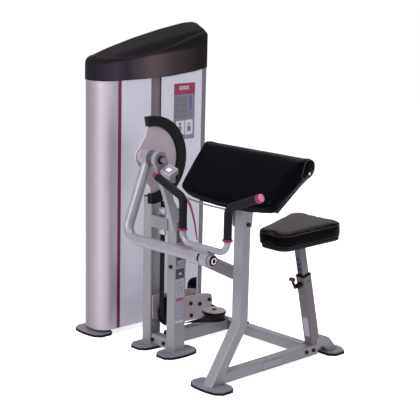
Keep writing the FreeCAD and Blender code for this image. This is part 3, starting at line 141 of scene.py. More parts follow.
print("a 3 x 4 grid has", len(grid_faces(3, 4)), "faces")

# %% [markdown]
# ## Nodes
# A material or a world is a web of nodes. A few helpers keep it short to write: one adds a node with its
# settings and inputs, and the others add the nodes that come back again and again, and hand on their
# socket.

# %% Node helpers
def add(wires, kind, inputs, **settings):
    """A new node. Each input is a value or another node's socket, and settings are its own properties."""
    node = wires.nodes.new("ShaderNode" + kind)
    for key, value in settings.items():
        setattr(node, key, value)
    for key, value in inputs.items():
        if isinstance(value, bpy.types.NodeSocket):
            wires.links.new(value, node.inputs[key])
        else:
            node.inputs[key].default_value = value
    return node


def calculate(wires, operation, *values):
    """The result of one step of arithmetic on numbers or sockets."""
    return add(wires, "Math", dict(enumerate(values)), operation=operation).outputs[0]


def share_between(wires, value, low, high, interpolation="LINEAR"):
    """How far a value is on its way from low to high, as a share from 0 to 1."""
    inputs = {"Value": value, "From Min": low, "From Max": high}
    return add(wires, "MapRange", inputs, interpolation_type=interpolation).outputs["Result"]


def mixed(wires, share, first, second, blend="MIX"):
    """The first colour where share is 0 and the second where it is 1."""
    inputs = {"Factor": share, "A": first, "B": second}
    return add(wires, "Mix", inputs, data_type="RGBA", blend_type=blend).outputs["Result"]


def colour_ramp(wires, share, stops, name):
    """Colours spread along a share, each stop a place from 0 to 1 and its colour."""
    ramp = add(wires, "ValToRGB", {"Fac": share}, name=name)
    elements = ramp.color_ramp.elements
    for _ in stops[2:]:
        elements.new(0.5)
    for index, (at, colour) in enumerate(stops):
        elements[index].position = at
        elements[index].color = (*colour, 1)
    return ramp.outputs["Color"]


def place_of(wires, kind="Object"):
    """The surface's own place or direction, as one vector."""
    return add(wires, "TexCoord", {}).outputs[kind]


print("6 node helpers")

# %% [markdown]
# ## Light
# The photograph is a studio cut-out on white. A large soft lamp stands high on the camera's left, a weaker
# one on its right and one above, and the world gives an even pale fill. Camera rays, and rays that a glossy
# or clear surface sends on, see pure white where nothing is in the way.

# %% World and lamps
world = bpy.data.worlds.new("studio")
bpy.context.scene.world = world
world.use_nodes = True
wires = world.node_tree
wires.nodes.clear()
paths = add(wires, "LightPath", {}).outputs
seen = calculate(wires, "MAXIMUM", paths["Is Camera Ray"], paths["Is Transmission Ray"])
mirrored = calculate(wires, "MAXIMUM", seen, paths["Is Glossy Ray"])
fill = add(wires, "Background", {"Color": (0.93, 0.94, 1.0, 1), "Strength": 0.38})
white = add(wires, "Background", {"Color": (1, 1, 1, 1), "Strength": 1.0})
choose = add(wires, "MixShader", {0: mirrored, 1: fill.outputs[0], 2: white.outputs[0]})
add(wires, "OutputWorld", {"Surface": choose.outputs[0]})


def soft_lamp(name, place, aim, size, power):
    """A square area lamp of that size in metres, turned from its place towards aim."""
    data = bpy.data.lights.new(name, "AREA")
    data.shape = "SQUARE"
    data.size = size
    data.energy = power
    back = np.array(place, float) - np.array(aim, float)
    back /= np.linalg.norm(back)
    side = np.cross([0.0, 0.0, 1.0], back)
    side /= np.linalg.norm(side)
    placed(name, data).matrix_world = standing(side, np.cross(back, side), back, place)


soft_lamp("key_lamp", (0.2, -4.2, 3.2), (-0.3, 0, 0.7), 2.6, 170)
soft_lamp("side_lamp", (4.6, 0.4, 2.4), (0, 0, 0.7), 2.2, 50)
soft_lamp("top_lamp", (-0.6, 0.4, 4.2), (-0.2, 0, 0.6), 2.4, 75)
print("lamps", len(bpy.data.lights))

# %% [markdown]
# ## Floor
# A wide pale sheet under the feet. Camera rays see it as white except where the machine's shadow falls, so
# the machine stands on something without a horizon line.

# %% Floor
floor_mesh = bpy.data.meshes.new("floor")
floor_half = 9.0
floor_corners = [(-floor_half, -floor_half, 0), (floor_half, -floor_half, 0), (floor_half, floor_half, 0),
    (-floor_half, floor_half, 0)]
floor_mesh.from_pydata(floor_corners, [], [(0, 1, 2, 3)])
floor = placed("floor", floor_mesh)
floor_paint = bpy.data.materials.new("floor_paint")
floor_paint.use_nodes = True
wires = floor_paint.node_tree
wires.nodes.clear()
surface = add(wires, "BsdfDiffuse", {"Color": (0.86, 0.86, 0.86, 1)})
glow = add(wires, "Emission", {"Color": (1, 1, 1, 1), "Strength": 0.8})
both = add(wires, "AddShader", {0: surface.outputs[0], 1: glow.outputs[0]})
paths = add(wires, "LightPath", {}).outputs
seen = calculate(wires, "MAXIMUM", paths["Is Camera Ray"], paths["Is Glossy Ray"])
lit = add(wires, "MixShader", {0: seen, 1: surface.outputs[0], 2: both.outputs[0]})
add(wires, "OutputMaterial", {"Surface": lit.outputs[0]})
floor_mesh.materials.append(floor_paint)
print("floor", 2 * floor_half, "m wide")

# %% [markdown]
# ## Finishes
# Each real finish has a large, faint unevenness and a small grain. Both come from noise in the object's own
# space: slow noise shifts the colour and the gloss a little, and fine noise becomes bump. Vinyl adds a
# pebbled leather grain from a cell pattern, powder coat an orange peel, and brushed or plated steel
# stretched noise.

# %% Finish maker
rough_drift = 0.08
bump_depth = 0.0006


def finish(name, colour, rough, metal=0.0, drift=0.05, drift_size=3.0, grain="peel", grain_size=420,
        bump=0.08, stretch=(1, 1, 1), gloss=0.3):
    """A principled surface whose colour is colour x (1 +- drift) and whose bump is noise or cells."""
    material = bpy.data.materials.new(name)
    material.use_nodes = True
    wires = material.node_tree
    shader = wires.nodes["Principled BSDF"]
    shader.inputs["Metallic"].default_value = metal
    shader.inputs["Specular IOR Level"].default_value = gloss
    place = place_of(wires)
    slow = add(wires, "TexNoise", {"Scale": drift_size, "Detail": 4, "Vector": place}).outputs["Fac"]
    low = [channel * (1 - drift) for channel in colour]
    high = [min(channel * (1 + drift), 1) for channel in colour]
    tint = colour_ramp(wires, slow, ((0.3, low), (0.7, high)), "colour")
    duller = {"Value": slow, "To Min": max(rough - rough_drift, 0.02), "To Max": min(rough + rough_drift, 1)}
    dull = add(wires, "MapRange", duller).outputs["Result"]
    grain_place = add(wires, "Mapping", {"Vector": place, "Scale": stretch}).outputs["Vector"]
    if grain == "cells":
        height = add(wires, "TexVoronoi", {"Scale": grain_size, "Vector": grain_place}).outputs["Distance"]
    else:
        peel = {"Scale": grain_size, "Detail": 3, "Vector": grain_place}
        height = add(wires, "TexNoise", peel).outputs["Fac"]
    raised = add(wires, "Bump", {"Strength": bump, "Distance": bump_depth, "Height": height})
    for socket, value in (("Base Color", tint), ("Roughness", dull), ("Normal", raised.outputs["Normal"])):
        wires.links.new(value, shader.inputs[socket])
    return material


print("a finish drifts by", rough_drift, "in roughness")

# %% [markdown]
# ### Paints
# The frame is powder coated in a warm silver with a little metal in it. The tower's sheets are paler, its
# tail is duller, the tubes that stand in shade get a darker, duller copy of the silver as painted shade,
# and the stripe is burgundy.

# %% Paints
silver_paint = finish("silver_paint", (0.235, 0.22, 0.245), 0.45, metal=0.25, bump=0.15)
shroud_paint = finish("shroud_paint", (0.665, 0.66, 0.75), 0.42, drift=0.03, grain_size=380)
nose_paint = finish("nose_paint", (0.5, 0.475, 0.5), 0.36, metal=0.2, drift=0.03)
tail_paint = finish("tail_paint", (0.165, 0.152, 0.165), 0.5, metal=0.1, drift=0.04)
accent_paint = finish("accent_paint", (0.16, 0.012, 0.045), 0.42, drift=0.08, grain_size=350, bump=0.1,
    gloss=0.25)
foot_paint = finish("foot_paint", (0.19, 0.18, 0.215), 0.5, drift=0.08, bump=0.15)
lever_paint = finish("lever_paint", (0.255, 0.24, 0.275), 0.38, metal=0.3, drift=0.1, drift_size=22, bump=0.2)
cam_paint = finish("cam_paint", (0.5, 0.42, 0.475), 0.5, drift=0.04, bump=0.1)
plate_grey = finish("plate_grey", (0.35, 0.295, 0.32), 0.5, bump=0.1)
# painted shade: a darker copy of the silver for the brace and the seat's outer post, which stand in shade
silver_painted_shade = finish("silver_painted_shade", (0.145, 0.125, 0.145), 0.5, bump=0.12)
slot_shade = finish("slot_shade", (0.2, 0.165, 0.19), 0.6, drift=0.08, bump=0.1, gloss=0.2)
blade_paint = finish("blade_paint", (0.24, 0.055, 0.115), 0.4, drift=0.1, drift_size=6, grain_size=400)
plate_paint = finish("plate_paint", (0.01, 0.009, 0.011), 0.45, drift=0.15, grain_size=300, bump=0.3,
    gloss=0.1)
print("13 paints")

# %% [markdown]
# ### Plastics, vinyl, rubber and wood
# The blacks differ more by gloss and grain than by colour: a coarse matte cap, smooth plugs, pebbled vinyl,
# dull rubber and a ribbed belt.

# %% Soft and moulded finishes
cap_plastic = finish("cap_plastic", (0.0075, 0.0055, 0.0075), 0.6, drift=0.15, grain_size=900, bump=0.45,
    gloss=0.06)
black_plastic = finish("black_plastic", (0.006, 0.005, 0.007), 0.42, drift=0.15, grain_size=700, bump=0.25,
    gloss=0.08)
grey_plastic = finish("grey_plastic", (0.27, 0.265, 0.31), 0.45, grain_size=800, bump=0.25)
vinyl = finish("vinyl", (0.001, 0.0011, 0.0026), 0.32, drift=0.2, grain="cells", grain_size=750, bump=0.25,
    gloss=0.02)
seat_vinyl = finish("seat_vinyl", (0.0016, 0.0013, 0.0022), 0.34, drift=0.2, grain="cells", grain_size=750,
    bump=0.25, gloss=0.03)
rubber = finish("rubber", (0.0075, 0.0065, 0.0095), 0.62, drift=0.2, grain_size=600, bump=0.4, gloss=0.08)
belt_rubber = finish("belt_rubber", (0.006, 0.005, 0.007), 0.5, drift=0.15, grain="cells", grain_size=900,
    bump=0.5, gloss=0.08)
board_wood = finish("board_wood", (0.012, 0.01, 0.011), 0.6, drift=0.3, drift_size=14, grain_size=60,
    stretch=(1, 12, 12), bump=0.3, gloss=0.15)
window_plastic = finish("window_plastic", (0.1, 0.1, 0.125), 0.3, grain_size=300, bump=0.02, gloss=0.4)
knob_plastic = finish("knob_plastic", (0.075, 0.018, 0.03), 0.45, drift=0.1, grain_size=900, bump=0.2,
    gloss=0.2)
seam_thread = finish("seam_thread", (0.01, 0.009, 0.012), 0.5, drift=0.1, grain_size=1200, bump=0.5,
    gloss=0.25)
red_plastic = finish("red_plastic", (0.17, 0.01, 0.045), 0.35, drift=0.1, grain_size=900, bump=0.2,
    gloss=0.35)
# pink for the counter's line, and for the grips' domed faces, where it is partly painted highlight
pink_and_highlight = finish("pink_and_highlight", (0.66, 0.17, 0.32), 0.4, drift=0.06, grain_size=900, bump=0.1)
lcd_grey = finish("lcd_grey", (0.6, 0.63, 0.7), 0.3, drift=0.03, grain_size=300, bump=0.02)
print("14 soft and moulded finishes")

# %% [markdown]
# ### Bare and plated steel
# Guide rods, shafts and the seat's chrome post are metal all through. Their noise is stretched along z, the
# way they were ground.

# %% Metals
bright_steel = finish("bright_steel", (0.62, 0.61, 0.64), 0.16, metal=1.0, drift=0.04, grain_size=260,
    stretch=(1, 1, 0.05), bump=0.05)
plain_steel = finish("plain_steel", (0.36, 0.35, 0.38), 0.34, metal=0.9, drift=0.08, grain_size=260,
    stretch=(1, 1, 0.1), bump=0.12)
# painted reflection: the post's chrome reflects little, standing in for the dark surroundings it mirrors
post_chrome = finish("post_chrome", (0.085, 0.085, 0.1), 0.2, metal=1.0, drift=0.25, drift_size=9,
    grain_size=260, stretch=(1, 1, 0.05), bump=0.1)
black_steel = finish("black_steel", (0.006, 0.005, 0.006), 0.4, drift=0.2, grain_size=500, bump=0.2,
    gloss=0.1)
finishes = {
    "frame_paint": silver_paint, "shroud_paint": shroud_paint, "accent_paint": accent_paint,
    "black_plastic": black_plastic, "grey_plastic": grey_plastic, "black_vinyl": vinyl,
    "black_rubber": rubber, "belt_rubber": belt_rubber, "board_wood": board_wood, "plate_paint": plate_paint,
    "bright_steel": bright_steel, "plain_steel": plain_steel, "black_steel": black_steel,
    "window_plastic": window_plastic, "placard_print": grey_plastic,
}
print(len(finishes), "slots have a finish")

# %% [markdown]
# ## Printed surfaces
# A placard or a sticker is a flat ground colour with blocks, bars and rows of small dark marks on it. On
# the real machine these are words and drawings. Here they are plain bars and broken lines that say nothing.
# Each mark is a box in the object's own y and z, so it stays put on the surface. Rows of marks are a sine
# wave in z, cut by noise in y, which leaves gaps as between words.

# %% Printed surface maker
row_pitch = 0.0095
word_size = 240
word_share = 0.44


def mark_mask(wires, kind, across, upwards, letters, box):
    """1 inside a box or a disc in y and z, 0 outside; rows also need the wave's crest and a letter."""
    low_y, high_y, low_z, high_z = box
    middle_y, middle_z = (low_y + high_y) / 2, (low_z + high_z) / 2
    half_y, half_z = (high_y - low_y) / 2, (high_z - low_z) / 2
    if kind == "disc":
        squares = []
        for value, middle in ((across, middle_y), (upwards, middle_z)):
            away = calculate(wires, "ABSOLUTE", calculate(wires, "SUBTRACT", value, middle))
            squares.append(calculate(wires, "POWER", away, 2.0))
        return calculate(wires, "LESS_THAN", calculate(wires, "ADD", *squares), half_y * half_y)
    inside_y = calculate(wires, "COMPARE", across, middle_y, half_y)
    inside_z = calculate(wires, "COMPARE", upwards, middle_z, half_z)
    mask = calculate(wires, "MULTIPLY", inside_y, inside_z)
    if kind == "rows":
        wave = calculate(wires, "SINE", calculate(wires, "MULTIPLY", upwards, 2 * math.pi / row_pitch))
        crest = calculate(wires, "GREATER_THAN", wave, 0.1)
        mask = calculate(wires, "MULTIPLY", mask, calculate(wires, "MULTIPLY", crest, letters))
    return mask


def printed(name, ground, marks):
    """A ground colour with marks, each a kind, its low and high y and z, and its colour."""
    material = finish(name, ground, 0.45, drift=0.04, grain_size=500, bump=0.05)
    wires = material.node_tree
    place = add(wires, "SeparateXYZ", {0: place_of(wires)}).outputs
    noise = add(wires, "TexNoise", {"Scale": word_size, "Vector": place_of(wires)}).outputs["Fac"]
    letters = calculate(wires, "GREATER_THAN", noise, word_share)
    colour_now = wires.nodes["colour"].outputs["Color"]
    for kind, *box, colour in marks:
        mask = mark_mask(wires, kind, place["Y"], place["Z"], letters, box)
        colour_now = mixed(wires, mask, colour_now, (*colour, 1))
    wires.links.new(colour_now, wires.nodes["Principled BSDF"].inputs["Base Color"])
    return material


print("one row of print every", 1000 * row_pitch, "mm")

# %% [markdown]
# ### The five prints
# The placard on the tower has a red heading bar, rows of marks, a blue column and two white boxes. Two dark
# stickers stand on the upright, one pale one lies on the base tube and one is on the seat post.

# %% Placard and stickers
white_ink, dark_ink = (0.62, 0.6, 0.65), (0.09, 0.08, 0.1)
placard_print = printed("placard_face", (0.215, 0.195, 0.235), [
    ("block", 0.16, 0.31, 1.183, 1.245, (0.27, 0.03, 0.085)),
    ("block", 0.196, 0.264, 1.206, 1.226, (0.52, 0.3, 0.37)),
    ("rows", 0.166, 0.256, 1.06, 1.172, dark_ink),
    ("block", 0.268, 0.286, 1.1, 1.175, (0.12, 0.11, 0.24)),
    ("rows", 0.27, 0.284, 1.06, 1.095, dark_ink),
    ("block", 0.178, 0.236, 0.978, 1.049, white_ink),
    ("block", 0.241, 0.294, 0.975, 1.051, white_ink),
    ("disc", 0.199, 0.213, 1.026, 1.04, (0.06, 0.06, 0.3)),
    ("block", 0.196, 0.216, 0.998, 1.022, (0.16, 0.15, 0.24)),
    ("disc", 0.262, 0.276, 1.022, 1.036, (0.05, 0.26, 0.3)),
    ("block", 0.256, 0.282, 0.992, 1.018, (0.14, 0.17, 0.22)),
])
label_print = printed("label_face", (0.04, 0.036, 0.046), [
    ("rows", -0.2, -0.152, 0.52, 0.625, (0.11, 0.1, 0.125)),
    ("rows", -0.2, -0.152, 0.484, 0.512, (0.3, 0.28, 0.33)),
    ("block", -0.201, -0.153, 0.452, 0.47, (0.42, 0.4, 0.46)),
    ("rows", -0.199, -0.155, 0.452, 0.47, dark_ink),
    ("block", -0.203, -0.149, 0.446, 0.4485, white_ink),
])
notice_print = printed("notice_face", (0.33, 0.31, 0.36), [
    ("block", -0.2095, -0.1545, 0.38, 0.428, (0.035, 0.03, 0.04)),
    ("block", -0.19, -0.172, 0.398, 0.409, (0.4, 0.38, 0.42)),
    ("block", -0.206, -0.158, 0.292, 0.374, (0.44, 0.43, 0.49)),
    ("rows", -0.203, -0.161, 0.296, 0.37, dark_ink),
    ("block", -0.206, -0.158, 0.272, 0.284, (0.33, 0.05, 0.12)),
    ("block", -0.206, -0.158, 0.18, 0.268, (0.22, 0.22, 0.32)),
    ("rows", -0.203, -0.161, 0.184, 0.264, (0.42, 0.41, 0.48)),
    ("block", -0.207, -0.157, 0.164, 0.17, white_ink),
])
base_print = printed("base_label_face", (0.055, 0.05, 0.062), [
    ("block", -0.079, 0.047, 0.0285, 0.0585, (0.34, 0.325, 0.38)),
    ("rows", -0.074, 0.042, 0.031, 0.056, (0.22, 0.21, 0.25)),
])
post_print = printed("post_label_face", (0.4, 0.385, 0.45), [
    ("rows", 0.1, 0.18, 0.118, 0.15, (0.2, 0.19, 0.24)),
    ("block", 0.1, 0.18, 0.15, 0.154, dark_ink),
])
print("5 printed faces")

# %% [markdown]
# ## Dressing the CAD nodes
# Each CAD node names a material slot in its record. One pass gives every node the finish of its slot, and
# some nodes get one of their own, such as the tower's brighter nose with its painted bands of light and
# shade, its greyer tail and the printed placard.

# %% Finishes on the CAD nodes
slots = {part["node"]: part["material_slot"] for part in frame["record"]["subparts"]}
for name, node in frame["nodes"].items():
    node.data.materials.clear()
    node.data.materials.append(finishes[slots[name]])
own_finish = {
    "shroud_nose": nose_paint, "shroud_tail": tail_paint, "tower_cap": cap_plastic, "foot_plates": foot_paint,
    "instruction_placard": placard_print, "grip_trims": red_plastic, "pin_knob": knob_plastic,
    "cam_plate": cam_paint, "lever_arm": lever_paint, "upright_arm": lever_paint,
    "swivel_collar": lever_paint, "handle_bar": lever_paint, "pulley_guards": plate_grey,
    # the brace and the seat's outer post take the darker silver that is painted shade
    "post_brace": silver_painted_shade, "seat_post_inner": post_chrome, "seat_post_outer": silver_painted_shade,
}
for name, material in own_finish.items():
    frame["nodes"][name].data.materials[0] = material
print("dressed", len(slots), "nodes")

# %% [markdown]
# ### The nose's painted bands of light and shade
# The tower's front is one sheet of thin steel rolled round two corners. Long soft bands of light and shade
# from top to bottom are painted into its satin paint's colour: a ramp along x + y, which runs round the
# corner, shades it, as painted highlight and painted shade.

# %% Painted bands of light and shade on the nose
nose_painted_bands = ((0.0, (0.4, 0.37, 0.41)), (0.22, (0.62, 0.58, 0.6)), (0.45, (0.96, 0.88, 0.93)),
    (0.7, (0.9, 0.87, 0.94)), (1.0, (0.8, 0.78, 0.9)))
wires = nose_paint.node_tree
along = add(wires, "VectorMath", {0: place_of(wires), 1: (1, 1, 0)}, operation="DOT_PRODUCT").outputs["Value"]
# painted light and shade: the ramp's dark and bright stops make the nose's bands
bands = colour_ramp(wires, share_between(wires, along, -0.905, -0.695), nose_painted_bands, "bands")
tint = mixed(wires, 1.0, wires.nodes["colour"].outputs["Color"], bands, "MULTIPLY")
wires.links.new(tint, wires.nodes["Principled BSDF"].inputs["Base Color"])
print("nose bands", len(nose_painted_bands))

# %% [markdown]
# ### Two blacks that change with the way they face
# The cap's flanks get a broad soft sheen painted into their colour that its top does not, warmest in the
# middle of the long side and ending at a line that climbs to the back. The seat's top gets painted light, a
# dull brown-grey that stands in for the light from above, while its side band stays black and glossy. Both
# are colours mixed by the surface's own direction: a share of the top's colour where it faces up, and of the
# side's colour where it stands.

# %% Colours by facing
def facing_mix(material, side_colour, top_colour, low, high):
    """Mixes two colours by the z of the surface's own direction, from low (side) to high (top)."""
    wires = material.node_tree
    upness = add(wires, "SeparateXYZ", {0: place_of(wires, "Normal")}).outputs["Z"]
    colour = mixed(wires, share_between(wires, upness, low, high, "SMOOTHSTEP"), side_colour, top_colour)
    wires.links.new(colour, wires.nodes["Principled BSDF"].inputs["Base Color"])


cap_sheen = ((0.0, (0.008, 0.007, 0.01)), (0.12, (0.05, 0.04, 0.058)), (0.22, (0.026, 0.024, 0.04)),
    (0.46, (0.12, 0.088, 0.096)), (0.66, (0.05, 0.037, 0.04)), (0.9, (0.012, 0.01, 0.012)))
crease_slope, crease_height = 0.094, 1.389
# painted sheen: below a line that climbs to the back, the cap's flanks take the ramp's colours along y
wires = cap_plastic.node_tree
place = add(wires, "SeparateXYZ", {0: place_of(wires)}).outputs
sheen = colour_ramp(wires, share_between(wires, place["Y"], -0.305, 0.4), cap_sheen, "sheen")
crease = calculate(wires, "MULTIPLY_ADD", place["Y"], crease_slope, crease_height)
below = calculate(wires, "SUBTRACT", crease, place["Z"])
own_colour = wires.nodes["colour"].outputs["Color"]
flank = mixed(wires, share_between(wires, below, -0.01, 0.012, "SMOOTHSTEP"), own_colour, sheen)
facing_mix(cap_plastic, flank, own_colour, 0.02, 0.35)
# painted light: faces of the seat that look up take a lighter brown-grey, standing in for the light from
# above
seat_side = seat_vinyl.node_tree.nodes["colour"].outputs["Color"]
facing_mix(seat_vinyl, seat_side, (0.048, 0.035, 0.042, 1), 0.8, 0.97)
print("cap sheen stops", len(cap_sheen))

# %% [markdown]
# ## The tower's cap
# A moulded hood of black textured plastic sits over the tower. Seen from above it is a long rectangle with
# broad round corners in front and tight ones behind. Its ridge climbs from the nose to a high back, and its
# two sides climb lower, so that the flanks fold along a soft crease. The surface is a height over the plan:
# straight lines between a few stations are smoothed by a running mean.

# %% Smooth lines and rounded outlines
def softened(places, values, width, count=801):
    """Straight lines between the points, then a running mean; the line is turned over at both ends."""
    fine = np.linspace(0, 1, count)
    line = np.interp(fine, places, values)
    reach = int(width * count / 2)
    before = 2 * line[0] - line[reach:0:-1]
    after = 2 * line[-1] - line[-2:-2 - reach:-1]
    window = np.ones(2 * reach + 1) / (2 * reach + 1)
    return fine, np.convolve(np.concatenate([before, line, after]), window, mode="valid")


def way_along(line):
    """How far along a line each of its points is."""
    return np.concatenate([[0], np.cumsum(np.linalg.norm(np.diff(line, axis=0), axis=1))])


def between(at, places, values):
    """The rows of values that stand at those places, read off at other places by straight lines."""
    return np.stack([np.interp(at, places, column) for column in values.T], axis=1)


def averaged(values, window):
    """The running mean of the rows over a window, without the rows at both ends that lack neighbours."""
    return np.stack([np.convolve(column, np.ones(window) / window, mode="valid") for column in values.T],
        axis=1)


def rounded_outline(half_x, low_y, high_y, low_radius, high_radius, count):
    """Points and outward normals of a rectangle with one radius at its low-y corners, one at the high-y."""
    quarter = np.radians(np.linspace(0, 90, 25))
    corners = [
        (half_x - high_radius, high_y - high_radius, high_radius, 0),
        (high_radius - half_x, high_y - high_radius, high_radius, 90),
        (low_radius - half_x, low_y + low_radius, low_radius, 180),
        (half_x - low_radius, low_y + low_radius, low_radius, 270),
    ]
    parts = []
    for middle_x, middle_y, radius, start in corners:
        turn = np.radians(start) + quarter
        facing = np.stack([np.cos(turn), np.sin(turn)], axis=1)
        parts.append(np.hstack([np.array([middle_x, middle_y]) + radius * facing, facing]))
    line = np.concatenate(parts + [parts[0][:1]])
    length = way_along(line[:, :2])
    spots = between(np.linspace(0, length[-1], count, endpoint=False), length, line)
    facing = spots[:, 2:] / np.linalg.norm(spots[:, 2:], axis=1)[:, None]
    return spots[:, :2], facing


print("a softened line has", len(softened([0, 1], [0, 1], 0.1)[1]), "points")

# %% [markdown]
# ### The cap's heights and rim
# Three lines of heights run from nose to back: the skirt's lower edge, the side's upper edge and the ridge.
# Between side and ridge the hood swells like a low arch. Its rim is a quarter circle, broad at the nose.

# %% Cap
cap_middle, cap_half, cap_front, cap_back = -0.584, 0.0923, -0.3013, 0.3983
nose_radius, tail_radius = 0.0733, 0.0213
cap_base, cap_rise = 1.275, 0.268
stations = [0, 0.03, 0.12, 0.38, 0.62, 0.86, 0.96, 1]
skirt_heights = cap_base + cap_rise * np.array([0, 0, 0, 0, 0.02, 0.08, 0.13, 0.14])
side_heights = cap_base + cap_rise * np.array([0.24, 0.29, 0.35, 0.39, 0.48, 0.61, 0.7, 0.72])
ridge_heights = cap_base + cap_rise * np.array([0.26, 0.42, 0.55, 0.74, 0.88, 0.99, 1.0, 0.95])


def cap_height(x, y):
    """Height of the hood over a place: the side's height plus a share of the way up to the ridge's."""
    share = (y - cap_front) / (cap_back - cap_front)
    side = np.interp(share, *softened(stations, side_heights, 0.05))
    ridge = np.interp(share, *softened(stations, ridge_heights, 0.06))
    fine, rise = softened([0, 0.14, 0.5, 0.86, 1], [0, 0.55, 1, 0.55, 0], 0.09)
    return side + (ridge - side) * np.interp((x - cap_middle) / (2 * cap_half) + 0.5, fine, rise)


plan, outward = rounded_outline(cap_half, cap_front, cap_back, nose_radius, tail_radius, 320)
plan = plan + np.array([cap_middle, 0])
share = (plan[:, 1] - cap_front) / (cap_back - cap_front)
skirt = np.interp(share, *softened(stations, skirt_heights, 0.05))
nose_swell = 0.034 * np.exp(-((plan[:, 1] - cap_front) / 0.085) ** 2)
rim_radius = 0.006 + nose_swell + 0.013 * np.clip((plan[:, 1] - 0.05) / 0.3, 0, 1)
shoulder = plan - rim_radius[:, None] * outward
rim_top = cap_height(shoulder[:, 0], shoulder[:, 1])
rows = []
for inset, lift in ((0.003, 0.03), (0.003, 0.0), (0.0006, 0.0), (0.0, 0.0008)):
    rows.append(np.column_stack([plan - inset * outward, skirt + lift]))
for step in np.linspace(0.06, 1, 10):
    rows.append(np.column_stack([plan, skirt + (rim_top - rim_radius - skirt) * step]))
for turn in np.radians(np.linspace(10, 90, 9)):
    edge = plan - (rim_radius * (1 - np.cos(turn)))[:, None] * outward
    rows.append(np.column_stack([edge, rim_top - rim_radius * (1 - np.sin(turn))]))
spine = np.column_stack([np.full(len(plan), cap_middle),
    np.clip(plan[:, 1], cap_front + 0.07, cap_back - 0.05)])
for step in np.linspace(0.03, 1, 34):
    spot = shoulder + (spine - shoulder) * step
    rows.append(np.column_stack([spot, cap_height(spot[:, 0], spot[:, 1])]))
cap_faces = grid_faces(len(rows), len(plan), close_columns=True)
cap = mesh_piece("cap_hood", np.stack(rows), cap_faces, "frame", cap_plastic)
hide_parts("tower_cap")
print("cap", len(cap.data.polygons), "faces")

# %% [markdown]
# ## Turned pieces, thin plates and beads
# Three more helpers make the small pieces. A turned piece is a profile carried round an axis, like work on
# a lathe. A thin plate is a rounded outline raised in layers. A bead is a tube along a line, whose radius
# ripples as a welder's puddles do, or stays even for piping on a cushion.

# %% Helpers for small pieces
plate_points = 96
bead_points = 12
black_part = (black_plastic, "black_plastic")
red_part = (red_plastic, "accent_paint")


def unit(vector):
    """The vector at length one."""
    vector = np.asarray(vector, float)
    return vector / np.linalg.norm(vector)


def lathe(name, profile, centre, axis, body, material, slot, count=72):
    """Carries each profile point (radius, way along the axis) round the axis; flat discs shut both ends."""
    axis = unit(axis)
    side = unit(np.cross(axis, [0.0, 0.31, 0.95] if abs(axis[2]) < 0.9 else [1.0, 0.0, 0.0]))
    other = np.cross(axis, side)
    turn = np.linspace(0, 2 * math.pi, count, endpoint=False)
    round_way = np.cos(turn)[:, None] * side + np.sin(turn)[:, None] * other
    profile = np.asarray(profile, float)
    points = np.asarray(centre, float) + profile[:, None, :1] * round_way + profile[:, None, 1:] * axis
    return mesh_piece(name, points, tube_faces(len(profile), count), body, material)


def thin_plate(name, centre, side, upward, half_side, half_up, corner, thick, body, material):
    """A rounded rectangle of those half sizes, raised by thick along side x upward, its edge eased."""
    side, upward = unit(side), unit(upward)
    facing = np.cross(side, upward)
    outline, outwards = rounded_outline(half_side, -half_up, half_up, corner, corner, plate_points)
    rows = []
    for inset, height in ((0.0, 0.0), (0.0, 0.6 * thick), (0.15 * thick, 0.9 * thick), (0.5 * thick, thick)):
        spot = outline - inset * outwards
        rows.append(np.asarray(centre) + spot[:, :1] * side + spot[:, 1:] * upward + height * facing)
    faces = tube_faces(len(rows), plate_points)
    return mesh_piece(name, np.stack(rows), faces, body, material, smooth=False)


def bead(name, line, normal, radius, body, material, slot, closed=True, ripple=0.0, pitch=0.006,
        spacing=0.0015,
        flat=1.0):
    """A tube along a line, its circle across the line, its radius radius x (1 + ripple x |sin|)."""
    line = np.asarray(line, float)
    loop = np.vstack([line, line[:1]]) if closed else line
    length = way_along(loop)
    count = max(int(length[-1] / spacing), 8)
    at = np.linspace(0, length[-1], count, endpoint=not closed)
    spots = between(at, length, loop)
    ahead = (np.roll(spots, -1, axis=0) - np.roll(spots, 1, axis=0)) if closed else np.gradient(spots, axis=0)
    ahead /= np.linalg.norm(ahead, axis=1)[:, None]
    across = np.cross(ahead, unit(normal))
    across /= np.linalg.norm(across, axis=1)[:, None]
    above = np.cross(across, ahead)
    turn = np.linspace(0, 2 * math.pi, bead_points, endpoint=False)[None, :, None]
    size = radius * (1 + ripple * np.abs(np.sin(math.pi * at / pitch)))[:, None, None]
    points = spots[:, None] + size * (np.cos(turn) * across[:, None] + flat * np.sin(turn) * above[:, None])
    faces = grid_faces(count, bead_points, True, True) if closed else tube_faces(count, bead_points)
    return mesh_piece(name, points, faces, body, material)


def ring_line(centre, axis, side, half_side, half_other, corner=0.006, count=120):
    """A rounded rectangle round a tube, as a closed line in the plane across the axis."""
    outline, _ = rounded_outline(half_side, -half_other, half_other, corner, corner, count)
    side = unit(side)
    other = np.cross(unit(axis), side)
    return np.asarray(centre) + outline[:, :1] * side + outline[:, 1:] * other


print("a ring line has", len(ring_line((0, 0, 0), (0, 0, 1), (1, 0, 0), 0.02, 0.02)), "points")

# %% [markdown]
# ## Cushions
# The arm pad and the seat are foam on a board under black vinyl. Foam under a tight cover swells evenly and
# pulls in at the sewn edges, which a cloth simulation with air pressure does well. Each cushion starts as
# the CAD solid, remeshed to even squares and drawn in by a few millimetres, and is then blown up, with each
# point's move capped. The swelling is laid on the solid's own size, so the cushion keeps the photograph's
# outline.

# %% Cushion helpers
cloth_pressure = 4
cloth_frames = 20
kept_inset = 0.8


def vertex_array(values, kind):
    """An (n, 3) array read from a mesh's vertices or from its vertex normals."""
    array = np.empty(3 * len(values))
    values.foreach_get(kind, array)
    return array.reshape(-1, 3)


def set_places(mesh, places):
    """Puts the vertices at those places."""
    mesh.vertices.foreach_set("co", places.ravel())
    mesh.update()


